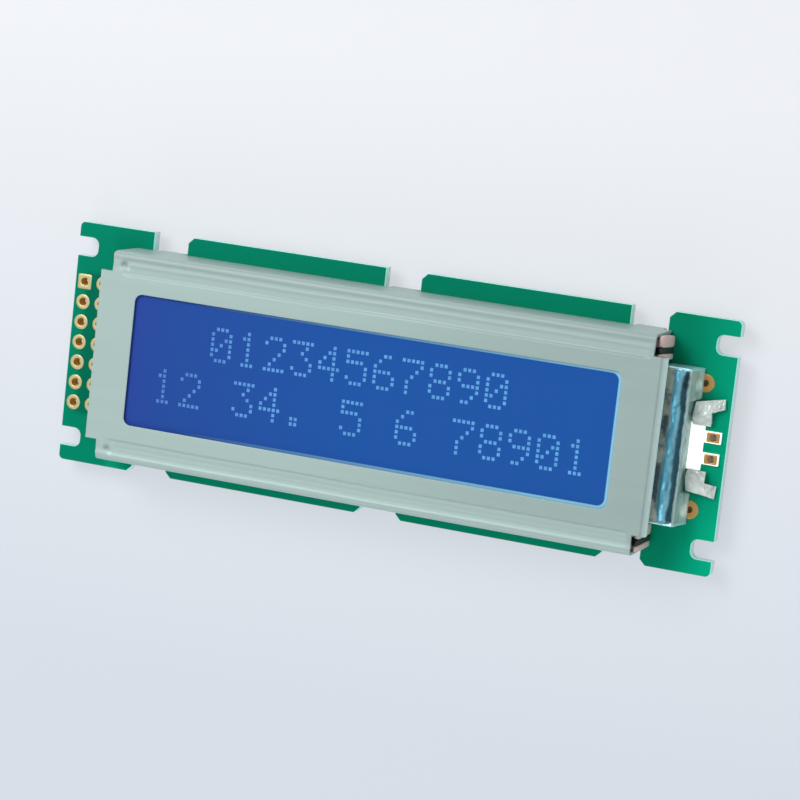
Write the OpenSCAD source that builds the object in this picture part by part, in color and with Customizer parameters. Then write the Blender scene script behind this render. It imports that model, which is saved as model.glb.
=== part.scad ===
// Character display module: sixteen characters by two lines of dot-matrix liquid-crystal cell
// on a circuit board, lit from its right-hand end and clamped by a bezel folded from one sheet.
// The module lies on its back with the display up. X runs along the board, Y across it, and the
// origin is under the middle of the board, on the surface that the resin caps rest on.

/* [Board] */
// Length of the board
board_l = 85; // [83:0.5:92]
// Width of the board
board_w = 30; // [29.5:0.5:36]
// Thickness of the board
board_t = 1.6; // [1:0.1:2.4]
// Radius of the board's outer corners
board_corner_r = 0.6; // [0.3:0.1:0.9]
// Width of the four open fixing slots
slot_w = 2.4; // [2:0.1:3]
// Depth of the fixing slots, measured from the ends of the board
slot_depth = 2.7; // [2:0.1:3.2]
// Distance of a fixing slot's middle from the long edge
slot_inset = 3; // [2.5:0.1:3.5]
// Radius of the inner corners of the fixing slots
slot_corner_r = 0.9; // [0.3:0.1:0.95]

/* [Bezel] */
// Margin of board beyond each end of the bezel
end_margin = 6.5; // [6.2:0.1:8]
// Margin of board beyond each side wall of the bezel
side_margin = 2.1; // [1.8:0.1:2.3]
// How far the face's end lips stand out past the shoulders
lip_reach = 1.6; // [1.2:0.1:2]
// Width of each low shoulder beside the raised face
shoulder_w = 2.5; // [2:0.1:2.8]
// Height of the face above the board
bezel_h = 6.5; // [6:0.1:8]
// Thickness of the sheet
sheet_t = 0.35; // [0.25:0.05:0.5]
// Outer radius of the bends of the sheet
bend_r = 0.7; // [0.55:0.05:0.9]
// Width of the slope between the face and a shoulder
slope_w = 0.55; // [0.3:0.05:0.8]
// Length of the flat start of each shoulder, before the step is pressed in
plain_l = 1.3; // [0.6:0.1:2.4]
// Depth of the end lips, measured from the face
lip_h = 0.9; // [0.75:0.05:1.5]
// Width of the face at each end of the window
window_end_margin = 5; // [4.5:0.1:7]
// Width of the face above and below the window
window_side_margin = 2.35; // [2.05:0.05:3]
// Radius of the window's corners
window_r = 0.95; // [0.3:0.05:2]
// Offset of the whole display across the board
display_y = -0.1; // [-0.2:0.05:0.2]

/* [Fixing tabs] */
// Width of each folded tab
tab_w = 3.4; // [2.4:0.1:4]
// Length of the tab's foot under the board
tab_foot = 2.2; // [1.4:0.1:3]
// Inner radius of the fold under the board
tab_bend_r = 0.3; // [0.2:0.05:0.4]
// Distance of the end tabs' middles from the ends of the shoulders
tab_inset = 3.6; // [3.2:0.1:6]
// Offset of the middle tabs along the board
tab_x = 0.8; // [-1:0.1:0.9]
// Room at each end of a tab in its notch
notch_room = 0.65; // [0.4:0.05:1]
// Chamfer at the mouth of a notch
notch_chamfer = 0.7; // [0.3:0.1:1]

/* [Header holes] */
// Distance between neighbouring holes
header_pitch = 2.54; // [2:0.01:2.54]
// Number of holes in each column
header_rows = 7; // [4:1:7]
// Diameter of the plated holes
header_hole = 1; // [0.8:0.05:1.2]
// Width of the pads
header_pad = 1.86; // [1.6:0.02:2]
// Distance of the outer column from the end of the board
header_edge = 1.27; // [1.2:0.01:1.4]

/* [Display cell] */
// Thickness of each glass
glass_t = 1.1; // [0.7:0.1:1.1]
// How far the glasses end inside the shoulders
glass_inset = 0.5; // [0.3:0.1:1]
// Gap between the rear glass and a rubber connector
glass_side_gap = 0.15; // [0.1:0.05:0.5]
// Gap between the glasses
cell_gap = 0.05; // [0.03:0.01:0.1]
// Width of the seal round the liquid crystal
seal_w = 1.2; // [0.8:0.1:1.4]
// Thickness of a polariser
polariser_t = 0.2; // [0.15:0.01:0.25]
// How far a polariser reaches past the window
polariser_lap = 1; // [0.6:0.1:1.1]
// Radius of the resin bead that closes the fill port
plug_r = 0.8; // [0.5:0.1:0.9]

/* [Rubber connectors] */
// Width of the conducting core
core_w = 0.7; // [0.5:0.05:0.9]
// Width of the sponge on the lower side of the core
sponge_thin = 0.75; // [0.5:0.05:0.75]
// Width of the sponge on the upper side of the core
sponge_thick = 1.4; // [1.1:0.05:1.4]
// How far the connectors reach past the shoulders
connector_reach = 0.2; // [0:0.05:0.4]
// How far the free ends swell above the squeezed length
connector_swell = 0.7; // [0:0.1:0.8]
// Distance between the contact fingers on the board
finger_pitch = 1.1; // [0.9:0.1:1.6]
// Width of a contact finger
finger_w = 0.6; // [0.4:0.05:0.7]

/* [Lighting] */
// Gap between the light guide and a rubber connector
guide_side_gap = 0.55; // [0.4:0.05:0.8]
// How far the light guide reaches past the glass towards the lamps
guide_reach = 2.4; // [2:0.1:2.6]
// Thickness of the diffuser film
diffuser_t = 0.15; // [0.1:0.01:0.25]
// Thickness of the reflector film
reflector_t = 0.15; // [0.1:0.01:0.25]
// Thickness of the mirror foil
foil_t = 0.1; // [0.08:0.01:0.14]
// Gap between the glass and the start of the foil
foil_gap = 1.1; // [0.6:0.1:1.6]
// How far the foil reaches past the end of the light guide
foil_reach = 2; // [1.7:0.1:2.2]
// How far the foil's end spreads at the board
foil_flare = 0.7; // [0.4:0.1:0.8]
// Width of the upright middle of the foil's end, over the lamp board
foil_mid_w = 10.8; // [10:0.2:12]
// How far the foil's two folded-out wings reach
wing_l = 3.7; // [2.5:0.1:3.7]
// Tilt of the wings down to the board, in degrees
wing_tilt = 14; // [6:1:16]
// Thickness of the lamp board
lamp_board_t = 0.4; // [0.3:0.05:0.6]
// Width of the lamp board
lamp_board_w = 5.5; // [5:0.1:6]
// How far the lamp board shows past the foil
lamp_board_reach = 1.5; // [1:0.1:1.6]
// Distance of the supply holes from the end of the board
lamp_hole_inset = 1.55; // [1.4:0.05:1.8]
// Length of one lamp
lamp_l = 2.6; // [2:0.1:2.7]
// Height of a lamp
lamp_h = 2; // [1.6:0.1:2.4]
// Depth of a lamp
lamp_d = 1.2; // [0.8:0.1:1.4]
// Distance of the spare holes from the end of the board
spare_inset = 3.4; // [3.2:0.1:3.6]
// Distance of the spare holes' middles from the light guide's sides
spare_side_inset = 1.65; // [1.4:0.05:2]
// Diameter of the lamp board's plated holes
lamp_hole = 0.9; // [0.7:0.05:1]

/* [Back of the board] */
// Height of the resin caps over the bare chips
resin_h = 1.5; // [1.2:0.1:2]
// Radius of the main resin cap
resin_r = 7.4; // [6:0.1:8]
// Radius of the smaller resin cap
driver_r = 6.6; // [5.5:0.1:7.4]
// Distance between the resin caps
resin_pitch = 29; // [26:0.5:30]
// Thickness of the copper and its plating
copper_t = 0.05; // [0.03:0.01:0.08]

/* [Hidden] */

$fn = 64;
// Overlap that makes a cut run clear of a face
cut = 0.5;
// Room between parts that slide together when the display is assembled
fit = 0.1;

// Outlines of the board and the bezel
slot_pitch = board_w - 2 * slot_inset;
face_l = board_l - 2 * end_margin;
shoulder_l = face_l - 2 * lip_reach;
bezel_w = board_w - 2 * side_margin;
face_w = bezel_w - 2 * shoulder_w;
window_l = face_l - 2 * window_end_margin;
window_w = face_w - 2 * window_side_margin;

// Heights, from the resting surface up
board_z = resin_h;
top_z = board_z + board_t;
face_z = top_z + bezel_h;
joggle = polariser_t + fit;
shoulder_z = face_z - joggle;
front_glass_z = shoulder_z - sheet_t - glass_t;
rear_glass_z = front_glass_z - cell_gap - glass_t;
rear_polariser_z = rear_glass_z - polariser_t;
diffuser_z = rear_polariser_z - diffuser_t;
guide_z = top_z + reflector_t;
connector_z = top_z + copper_t;

// Places across and along the display
wall_y = bezel_w / 2 - sheet_t;
slope_y0 = face_w / 2;
slope_y1 = slope_y0 + slope_w;
connector_w = sponge_thin + core_w + sponge_thick;
connector_y = wall_y - fit / 2 - connector_w;
connector_l = shoulder_l + 2 * connector_reach;
glass_l = shoulder_l - 2 * glass_inset;
front_glass_w = bezel_w - 2 * bend_r;
rear_glass_w = 2 * (connector_y - glass_side_gap);
guide_w = 2 * (connector_y - guide_side_gap);
guide_x1 = glass_l / 2 + guide_reach;
notch_floor = wall_y - tab_bend_r - fit;
notch_w = tab_w + 2 * notch_room;
hole_x = -board_l / 2 + header_edge;
seal_inset = 0.3;
tab_pitch = shoulder_l / 2 - tab_inset;
tab_xs = [for (i = [-1:1]) tab_x + i * tab_pitch];

// Foil and lamp board
foil_x0 = glass_l / 2 + foil_gap;
foil_x1 = guide_x1 + foil_reach;
foil_z1 = diffuser_z + foil_t;
foil_foot_z = top_z + copper_t;
foil_foot_x = foil_x1 + foil_flare;
foil_w = guide_w + 2 * foil_t;
foil_mid = foil_mid_w / 2;
wing_root_w = 2.2;
wing_tip_w = 1.6;
wing_notch = 1.5;
wing_rise = 0.75;
lamp_board_x0 = guide_x1 + fit;
lamp_board_x1 = foil_x1 + lamp_board_reach;
lamp_count = 2;
lamp_wall = 0.3;
lamp_lens_depth = 0.25;
finger_gap = 1.2;
finger_y = header_pitch / 2;
lamp_finger_w = header_pitch - finger_gap;
lamp_pad_l = 1.7;
lamp_pad_x = board_l / 2 - lamp_hole_inset;
lamp_finger_x1 = lamp_pad_x + lamp_pad_l / 2 + fit / 2;
plating_t = 0.05;

// Plated holes that no lamp uses
spare_x = board_l / 2 - spare_inset;
spare_y = guide_w / 2 - spare_side_inset;
spare_pad_r = 1.1;
spare_hole_r = 0.4;

// Chip parts on the back: [x, y, turn]; resistors first, then capacitors
resistor_xy = [
    [0.2, 6.6, 0], [0.2, 3.6, 0], [0.2, 0.6, 0], [0.2, -2.4, 0], [0.2, -5.4, 0],
    [-26.4, 5.2, 90], [36.2, -3.4, 90]
];
capacitor_xy = [[-26.4, -3.2, 90], [26.6, 1.2, 90]];
chip_l = 2;
chip_w = 1.25;
chip_h = 0.55;
terminal_l = 0.4;
solder_l = 0.35;

// ---------- shared shapes ----------

module rounded_rect(size, r) {
    square([size.x - 2 * r, size.y], center = true);
    square([size.x, size.y - 2 * r], center = true);
    for (sx = [-1, 1], sy = [-1, 1])
        translate([sx * (size.x / 2 - r), sy * (size.y / 2 - r)])
            circle(r);
}

// A flat piece of the display stack, centred on the display's own middle line
module layer(l, w, z, t) {
    translate([-l / 2, display_y - w / 2, z])
        cube([l, w, t]);
}

// Quarter ring of sheet: a bend in section, turned by a right angle at a time
module bend_section(r_out, t, turn) {
    rotate(turn)
        intersection() {
            difference() {
                circle(r_out);
                circle(r_out - t);
            }
            square(r_out);
        }
}

// Runs a section drawn in Y and Z along X, from x0 to x1
module run_x(x0, x1) {
    translate([x0, 0, 0])
        rotate([90, 0, 90])
            linear_extrude(x1 - x0)
                children();
}

// Runs a section drawn in X and Z along Y, from y0 to y1
module run_y(y0, y1) {
    translate([0, y1, 0])
        rotate([90, 0, 0])
            linear_extrude(y1 - y0)
                children();
}

// Plated hole through the board, with a pad on each face
module eyelet(hole_r, z0, z1) {
    difference() {
        union() {
            translate([0, 0, z0])
                linear_extrude(copper_t)
                    children();
            translate([0, 0, z0])
                cylinder(h = z1 - z0, r = hole_r + plating_t);
            translate([0, 0, z1 - copper_t])
                linear_extrude(copper_t)
                    children();
        }
        translate([0, 0, z0 - cut])
            cylinder(h = z1 - z0 + 2 * cut, r = hole_r);
    }
}

module at_header_holes() {
    for (column = [0, 1], row = [0:header_rows - 1])
        translate([hole_x + column * header_pitch,
                   ((header_rows - 1) / 2 - row) * header_pitch]) {
            $first_hole = column == 0 && row == 0;
            children();
        }
}

module at_lamp_holes() {
    for (side = [-1, 1])
        translate([lamp_pad_x, side * finger_y])
            children();
}

module at_spare_holes() {
    for (side = [-1, 1])
        translate([spare_x, display_y + side * spare_y])
            children();
}

module at_chips(places) {
    for (p = places)
        translate([p.x, p.y, 0])
            rotate(p.z)
                children();
}

// ---------- board ----------

// Notch for a tab: a chamfer at the mouth on the right, and on the left where asked
module notch_outline(floor_y, edge_y, left_chamfer) {
    half = notch_w / 2;
    c_left = left_chamfer ? notch_chamfer : 0;
    polygon([
        [-half, floor_y], [half, floor_y], [half, edge_y - notch_chamfer],
        [half + notch_chamfer, edge_y], [half + notch_chamfer, edge_y + cut],
        [-half - c_left, edge_y + cut], [-half - c_left, edge_y], [-half, edge_y - c_left]
    ]);
}

module board_outline() {
    difference() {
        rounded_rect([board_l, board_w], board_corner_r);
        for (sx = [-1, 1], sy = [-1, 1])
            translate([sx * board_l / 2, sy * slot_pitch / 2])
                rounded_rect([2 * slot_depth, slot_w], slot_corner_r);
        for (x = tab_xs) {
            translate([x, 0])
                notch_outline(notch_floor + display_y, board_w / 2, false);
            translate([x, 0])
                mirror([0, 1])
                    notch_outline(notch_floor - display_y, board_w / 2, true);
        }
        at_header_holes()
            circle(header_hole / 2 + plating_t);
        at_lamp_holes()
            circle(lamp_hole / 2 + plating_t);
        at_spare_holes()
            circle(spare_hole_r + plating_t);
    }
}

module pcb() {
    color([0, 0.5, 0.38])
        translate([0, 0, board_z])
            linear_extrude(board_t)
                board_outline();
}

module header_pads() {
    color([0.86, 0.74, 0.45])
        at_header_holes()
            eyelet(header_hole / 2, board_z - copper_t, top_z + copper_t) {
                if ($first_hole)
                    square(header_pad, center = true);
                else
                    circle(header_pad / 2);
            }
}

module spare_lamp_pads() {
    color([0.8, 0.6, 0.25])
        at_spare_holes()
            eyelet(spare_hole_r, board_z - copper_t, top_z + copper_t)
                circle(spare_pad_r);
}

// Two rows of fingers under the rubber connectors' cores
module contact_fingers() {
    count = floor((connector_l - 2) / finger_pitch);
    finger_l = core_w + sponge_thin;
    color([0.86, 0.74, 0.45])
        for (y = core_ys(), i = [0:count])
            translate([(i - count / 2) * finger_pitch - finger_w / 2,
                       display_y + y + core_w / 2 - finger_l / 2, top_z])
                cube([finger_w, finger_l, copper_t]);
}

// ---------- lighting ----------

module reflector_film() {
    color([0.95, 0.95, 0.93])
        translate([-glass_l / 2, display_y - guide_w / 2, top_z])
            cube([guide_x1 + glass_l / 2, guide_w, reflector_t]);
}

module light_guide() {
    color([0.85, 0.93, 0.95, 0.6])
        translate([-glass_l / 2, display_y - guide_w / 2, guide_z])
            cube([guide_x1 + glass_l / 2, guide_w, diffuser_z - guide_z]);
}

module diffuser_film() {
    color([0.97, 0.97, 0.97])
        layer(glass_l, guide_w, diffuser_z, diffuser_t);
}

// White board that carries the lamps, with a finger to each supply hole
module lamp_board() {
    color([0.98, 0.98, 0.95])
        translate([0, 0, top_z])
            linear_extrude(lamp_board_t)
                difference() {
                    union() {
                        translate([lamp_board_x0, -lamp_board_w / 2])
                            square([lamp_board_x1 - lamp_board_x0, lamp_board_w]);
                        for (side = [-1, 1])
                            translate([lamp_board_x0, side * finger_y - lamp_finger_w / 2])
                                square([lamp_finger_x1 - lamp_board_x0, lamp_finger_w]);
                    }
                    at_lamp_holes()
                        circle(lamp_hole / 2 + plating_t);
                }
}

module feed_pads() {
    color([0.9, 0.62, 0.3])
        at_lamp_holes()
            eyelet(lamp_hole / 2, board_z - copper_t, top_z + lamp_board_t + copper_t)
                square([lamp_pad_l, lamp_finger_w - fit], center = true);
}

// Side-emitting lamps against the end of the light guide
module lamps() {
    color([1, 0.97, 0.8])
        for (i = [0:lamp_count - 1])
            translate([lamp_board_x0, (i - (lamp_count - 1) / 2) * lamp_l - lamp_l / 2 + fit / 2,
                       top_z + lamp_board_t])
                difference() {
                    cube([lamp_d, lamp_l - fit, lamp_h]);
                    translate([-cut, lamp_wall, lamp_wall])
                        cube([cut + lamp_lens_depth, lamp_l - fit - 2 * lamp_wall,
                              lamp_h - 2 * lamp_wall]);
                }
}

// End of the foil in section: upright over the lamp board, or spread out to the board
module foil_end_section(foot_x, foot_z) {
    polygon([
        [foil_x1 - foil_t, foil_z1], [foil_x1, foil_z1],
        [foot_x, foot_z], [foot_x - foil_t, foot_z]
    ]);
}

// Slit corner of the foil, folded out and lying towards the edge of the board
module foil_wing() {
    root_y = foil_mid - wing_root_w;
    tip_y = foil_mid + wing_root_w / 4;
    neck_x = wing_l - wing_notch;
    translate([foil_x1 - foil_t, 0, top_z + lamp_board_t + wing_rise])
        rotate([0, wing_tilt, 0])
            linear_extrude(foil_t)
                polygon([
                    [0, root_y], [0, foil_mid], [wing_l, tip_y], [wing_l, tip_y - wing_tip_w],
                    [neck_x, tip_y - 1.25 * wing_tip_w], [neck_x, root_y]
                ]);
}

module mirror_foil() {
    half = foil_w / 2;
    color([0.75, 0.8, 0.85]) {
        translate([foil_x0, display_y - half, diffuser_z])
            cube([foil_x1 - foil_x0, foil_w, foil_t]);
        translate([0, display_y, 0]) {
            for (side = [-1, 1])
                translate([0, side * (half - foil_t / 2), 0])
                    run_y(-foil_t / 2, foil_t / 2)
                        polygon([
                            [foil_x0, foil_z1], [foil_x1, foil_z1],
                            [foil_foot_x, foil_foot_z], [foil_x0, foil_foot_z]
                        ]);
            run_y(foil_mid, half)
                foil_end_section(foil_foot_x, foil_foot_z);
            run_y(-half, -foil_mid)
                foil_end_section(foil_foot_x, foil_foot_z);
            run_y(-foil_mid, foil_mid)
                foil_end_section(foil_x1, top_z + lamp_board_t + fit);
        }
        foil_wing();
        mirror([0, 1, 0])
            foil_wing();
    }
}

// ---------- display cell ----------

module rear_polariser() {
    color([0.25, 0.28, 0.4])
        layer(window_l + 2 * polariser_lap, window_w + 2 * polariser_lap,
              rear_polariser_z, polariser_t);
}

module rear_glass() {
    color([0.7, 0.85, 0.9, 0.5])
        layer(glass_l, rear_glass_w, rear_glass_z, glass_t);
}

module seal_outline() {
    square([glass_l - 2 * seal_inset, rear_glass_w - 2 * seal_inset], center = true);
}

module crystal_outline() {
    offset_in = seal_inset + seal_w;
    square([glass_l - 2 * offset_in, rear_glass_w - 2 * offset_in], center = true);
}

// Seal between the glasses, open at the left where the cell is filled
module cell_seal() {
    port_w = 2 * plug_r;
    color([0.3, 0.3, 0.32])
        translate([0, display_y, front_glass_z - cell_gap])
            linear_extrude(cell_gap)
                difference() {
                    seal_outline();
                    crystal_outline();
                    translate([-glass_l / 2, -port_w / 2])
                        square([seal_inset + seal_w + cut, port_w]);
                }
}

module liquid_crystal() {
    color([0.15, 0.3, 0.7])
        translate([0, display_y, front_glass_z - cell_gap])
            linear_extrude(cell_gap)
                crystal_outline();
}

// Resin bead on the end of the glasses
module fill_plug() {
    color([0.8, 0.75, 0.5])
        intersection() {
            translate([-glass_l / 2, display_y, front_glass_z - cell_gap / 2])
                sphere(plug_r);
            translate([-glass_l / 2 - 2 * plug_r, display_y - plug_r, front_glass_z - 2 * plug_r])
                cube([2 * plug_r, 2 * plug_r, 4 * plug_r]);
        }
}

module front_glass() {
    color([0.7, 0.85, 0.9, 0.5])
        layer(glass_l, front_glass_w, front_glass_z, glass_t);
}

module front_polariser() {
    color([0.13, 0.3, 0.65])
        layer(window_l + 2 * polariser_lap, window_w + 2 * polariser_lap,
              front_glass_z + glass_t, polariser_t);
}

// ---------- rubber connectors ----------

// Both connectors are cut from one moulding and face the same way, so the core of the upper
// one lies nearer the glass and the core of the lower one nearer the wall
function connector_ys() = [connector_y, -connector_y - connector_w];
function core_ys() = [for (y = connector_ys()) y + sponge_thin];

// A strip of connector: squeezed under the glass, and swollen where its ends stand free
module connector_strip(y, w) {
    free_l = (connector_l - glass_l) / 2 - fit;
    h = front_glass_z - connector_z;
    translate([-connector_l / 2, display_y + y, connector_z]) {
        cube([connector_l, w, h]);
        for (x = [0, connector_l - free_l])
            translate([x, 0, 0])
                cube([free_l, w, h + connector_swell]);
    }
}

module connector_cores() {
    color([0.08, 0.08, 0.08])
        for (y = core_ys())
            connector_strip(y, core_w);
}

module connector_sponges() {
    color([0.85, 0.7, 0.66])
        for (y = connector_ys()) {
            connector_strip(y, sponge_thin);
            connector_strip(y + sponge_thin + core_w, sponge_thick);
        }
}

// ---------- bezel ----------

// Side wall, bend and shoulder in section, from the board up
module bezel_side_section() {
    translate([wall_y, top_z])
        square([sheet_t, shoulder_z - bend_r - top_z]);
    translate([bezel_w / 2 - bend_r, shoulder_z - bend_r])
        bend_section(bend_r, sheet_t, 0);
}

// The pressed step: a slope down from the face, then the flat shoulder
module bezel_step_section() {
    polygon([
        [slope_y0, face_z], [slope_y1, shoulder_z], [bezel_w / 2 - bend_r, shoulder_z],
        [bezel_w / 2 - bend_r, shoulder_z - sheet_t], [slope_y1, shoulder_z - sheet_t],
        [slope_y0, face_z - sheet_t]
    ]);
}

// The plain start, where the sheet slopes evenly from the face to the bend
module bezel_plain_section() {
    polygon([
        [slope_y0, face_z], [bezel_w / 2 - bend_r, shoulder_z],
        [bezel_w / 2 - bend_r, shoulder_z - sheet_t], [slope_y0, face_z - sheet_t]
    ]);
}

// Tab through the notch, folded inwards under the board
module bezel_tab_section() {
    fold_y = wall_y - tab_bend_r;
    fold_z = board_z + tab_bend_r;
    translate([wall_y, fold_z])
        square([sheet_t, top_z - fold_z]);
    translate([fold_y, fold_z])
        bend_section(tab_bend_r + sheet_t, sheet_t, 270);
    translate([fold_y - tab_foot, board_z - sheet_t])
        square([tab_foot, sheet_t]);
}

module bezel_lip_section() {
    translate([face_l / 2 - bend_r, face_z - bend_r])
        bend_section(bend_r, sheet_t, 0);
    translate([face_l / 2 - sheet_t, face_z - lip_h])
        square([sheet_t, lip_h - bend_r]);
}

module bezel_side() {
    x0 = -shoulder_l / 2;
    run_x(x0, -x0)
        bezel_side_section();
    run_x(x0, x0 + plain_l)
        bezel_plain_section();
    run_x(x0 + plain_l, -x0)
        bezel_step_section();
    for (x = tab_xs)
        run_x(x - tab_w / 2, x + tab_w / 2)
            bezel_tab_section();
}

module bezel() {
    color([0.7, 0.76, 0.72])
        translate([0, display_y, 0]) {
            translate([0, 0, face_z - sheet_t])
                linear_extrude(sheet_t)
                    difference() {
                        square([face_l - 2 * bend_r, face_w], center = true);
                        rounded_rect([window_l, window_w], window_r);
                    }
            bezel_side();
            mirror([0, 1, 0])
                bezel_side();
            for (side = [0, 1])
                mirror([side, 0, 0])
                    run_y(-face_w / 2, face_w / 2)
                        bezel_lip_section();
        }
}

// ---------- back of the board ----------

// Cap of potting resin: a flat crown with a quarter-round shoulder
module resin_cap(r) {
    translate([0, 0, board_z])
        mirror([0, 0, 1])
            rotate_extrude()
                intersection() {
                    union() {
                        square([r - resin_h, resin_h]);
                        translate([r - resin_h, 0])
                            circle(resin_h);
                    }
                    square([r, resin_h]);
                }
}

module controller_resin() {
    color([0.06, 0.06, 0.07])
        translate([-resin_pitch / 2, 0, 0])
            resin_cap(resin_r);
}

module driver_resin() {
    color([0.06, 0.06, 0.07])
        translate([resin_pitch / 2, 0, 0])
            resin_cap(driver_r);
}

module chip_body() {
    body_l = chip_l - 2 * terminal_l;
    translate([-body_l / 2, -chip_w / 2, board_z - chip_h])
        cube([body_l, chip_w, chip_h]);
}

module resistor_bodies() {
    color([0.1, 0.1, 0.12])
        at_chips(resistor_xy)
            chip_body();
}

module capacitor_bodies() {
    color([0.68, 0.55, 0.42])
        at_chips(capacitor_xy)
            chip_body();
}

module chip_terminals() {
    color([0.8, 0.8, 0.8])
        at_chips(concat(resistor_xy, capacitor_xy))
            for (x = [-chip_l / 2, chip_l / 2 - terminal_l])
                translate([x, -chip_w / 2, board_z - chip_h])
                    cube([terminal_l, chip_w, chip_h]);
}

module solder_fillets() {
    color([0.75, 0.76, 0.78])
        at_chips(concat(resistor_xy, capacitor_xy))
            for (side = [0, 1])
                mirror([side, 0, 0])
                    run_y(-chip_w / 2, chip_w / 2)
                        polygon([
                            [chip_l / 2, board_z], [chip_l / 2 + solder_l, board_z],
                            [chip_l / 2, board_z - 0.7 * chip_h]
                        ]);
}

pcb();
header_pads();
contact_fingers();
spare_lamp_pads();
lamp_board();
feed_pads();
lamps();
reflector_film();
light_guide();
diffuser_film();
mirror_foil();
rear_polariser();
rear_glass();
cell_seal();
liquid_crystal();
fill_plug();
front_glass();
front_polariser();
connector_cores();
connector_sponges();
bezel();
controller_resin();
driver_resin();
resistor_bodies();
capacitor_bodies();
chip_terminals();
solder_fillets();
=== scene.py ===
# %% [markdown]
# # A character display module
# The real object is a sandwich: a green circuit board, a light guide with a lamp at one end, a
# liquid-crystal cell between two rubber connectors, and one folded sheet of metal that clamps
# them all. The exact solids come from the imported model. This lesson gives each surface its
# finish, and rebuilds the pieces whose charm lies in soft bends, rolled edges and creased foil.
#
# All lengths are written in millimetres and turned into metres where a mesh is made.

# %% Load the fixed frame and keep its box
import math

import bmesh
import bpy
import numpy as np
from mathutils import Matrix, Vector


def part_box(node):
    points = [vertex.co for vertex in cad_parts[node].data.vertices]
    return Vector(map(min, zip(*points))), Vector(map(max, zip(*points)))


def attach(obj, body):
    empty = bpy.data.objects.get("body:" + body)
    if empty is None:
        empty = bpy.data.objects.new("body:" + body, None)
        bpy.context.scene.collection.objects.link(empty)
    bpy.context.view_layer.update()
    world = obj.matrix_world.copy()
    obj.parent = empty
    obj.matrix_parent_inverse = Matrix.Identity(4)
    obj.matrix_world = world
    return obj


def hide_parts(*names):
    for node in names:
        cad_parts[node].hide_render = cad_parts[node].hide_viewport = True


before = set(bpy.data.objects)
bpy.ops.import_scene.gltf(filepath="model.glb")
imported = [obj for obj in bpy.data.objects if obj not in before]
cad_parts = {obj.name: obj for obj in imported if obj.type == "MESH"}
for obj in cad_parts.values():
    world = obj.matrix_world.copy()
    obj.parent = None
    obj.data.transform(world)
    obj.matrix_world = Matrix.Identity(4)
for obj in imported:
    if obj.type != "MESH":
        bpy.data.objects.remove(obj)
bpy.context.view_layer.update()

MM = 0.001

# %% [markdown]
# ## Places taken from the solids
# Every piece below sits where a solid sits, so the places are read from the boxes of the solids.
# A few lengths inside a solid, such as the window's size, have no box of their own and are
# written here once.


# %% Boxes in millimetres
def box_mm(node):
    """Lowest and highest corner of a solid, in millimetres."""
    low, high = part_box(node)
    return np.array(low) / MM, np.array(high) / MM


board_low, board_high = box_mm("pcb")
bezel_low, bezel_high = box_mm("bezel")
cell_low, cell_high = box_mm("front_polariser")
foil_low, foil_high = box_mm("mirror_foil")
BOARD_TOP = board_high[2]
BOARD_BACK = board_low[2]
FACE_TOP = bezel_high[2]
MIDDLE_Y = (bezel_low[1] + bezel_high[1]) / 2
print("board top", round(BOARD_TOP, 2), "face", round(FACE_TOP, 2), "middle y", round(MIDDLE_Y, 2))

# %% Lengths inside the solids
SHEET = 0.35  # thickness of the bezel's metal
BEND = 0.7  # outer radius between a shoulder and its wall
FACE_HALF = (36.0, 10.4)  # half of the raised face, with its rolled lips
SHOULDER_HALF = 34.4  # half of the length of the shoulders and walls
WALL_Y = 12.9  # outside of a wall, from the bezel's middle line
WINDOW_HALF = (31.0, 8.05)  # half of the window
WINDOW_R = 0.95  # radius of the window's corners
LIP = 0.9  # how far the rolled lips come down
ROLL_R = 0.32  # radius of that roll
TAB_X = (-30.0, 0.8, 31.6)  # middles of the tabs
TAB_HALF = 1.7  # half of a tab's width
TAB_FOLD = 0.3  # inner radius where a tab turns under the board
TAB_FOOT = 2.2  # length of the folded foot
PITCH = 2.54  # of the plated holes
print("window", [2 * half for half in WINDOW_HALF], "tabs at", TAB_X)

# %% [markdown]
# ## Surfaces as grids of points
# A surface is worked out as a whole array of points, rows by columns, and the same few lines
# turn any such grid into quads. Several grids that share their edges are welded into one sheet.
# Modelling by hand in edit mode would also work, but here each shape stays a formula that can be
# read and changed.


# %% Grid faces and patches
def grid_faces(rows, columns, ring=False):
    """Quads of a grid numbered row by row; in a ring the last column meets the first."""
    row, column = np.meshgrid(np.arange(rows - 1), np.arange(columns - (not ring)), indexing="ij")
    row, column = row.ravel(), column.ravel()
    after = (column + 1) % columns
    return np.stack([row * columns + column, row * columns + after,
                     (row + 1) * columns + after, (row + 1) * columns + column], axis=1)


def patch(points, ring=False):
    """A grid of points, rows x columns x 3, as a flat list of points and its quads."""
    rows, columns = points.shape[:2]
    return points.reshape(-1, 3), grid_faces(rows, columns, ring)


def joined(patches):
    """Several patches as one: each one's faces count on from the points before it."""
    starts = np.cumsum([0] + [len(points) for points, _ in patches[:-1]])
    points = np.concatenate([points for points, _ in patches])
    faces = np.concatenate([faces + start for (_, faces), start in zip(patches, starts)])
    return points, faces


# %% Points and faces as an object
def mesh_piece(name, points, faces, finish=None, smooth=True):
    """A new object at the origin from points in millimetres and faces."""
    mesh = bpy.data.meshes.new(name)
    mesh.from_pydata((points * MM).tolist(), [], faces.tolist())
    mesh.update()
    if smooth:
        mesh.shade_smooth()
    if finish:
        mesh.materials.append(finish)
    made = bpy.data.objects.new(name, mesh)
    bpy.context.scene.collection.objects.link(made)
    return made


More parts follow.
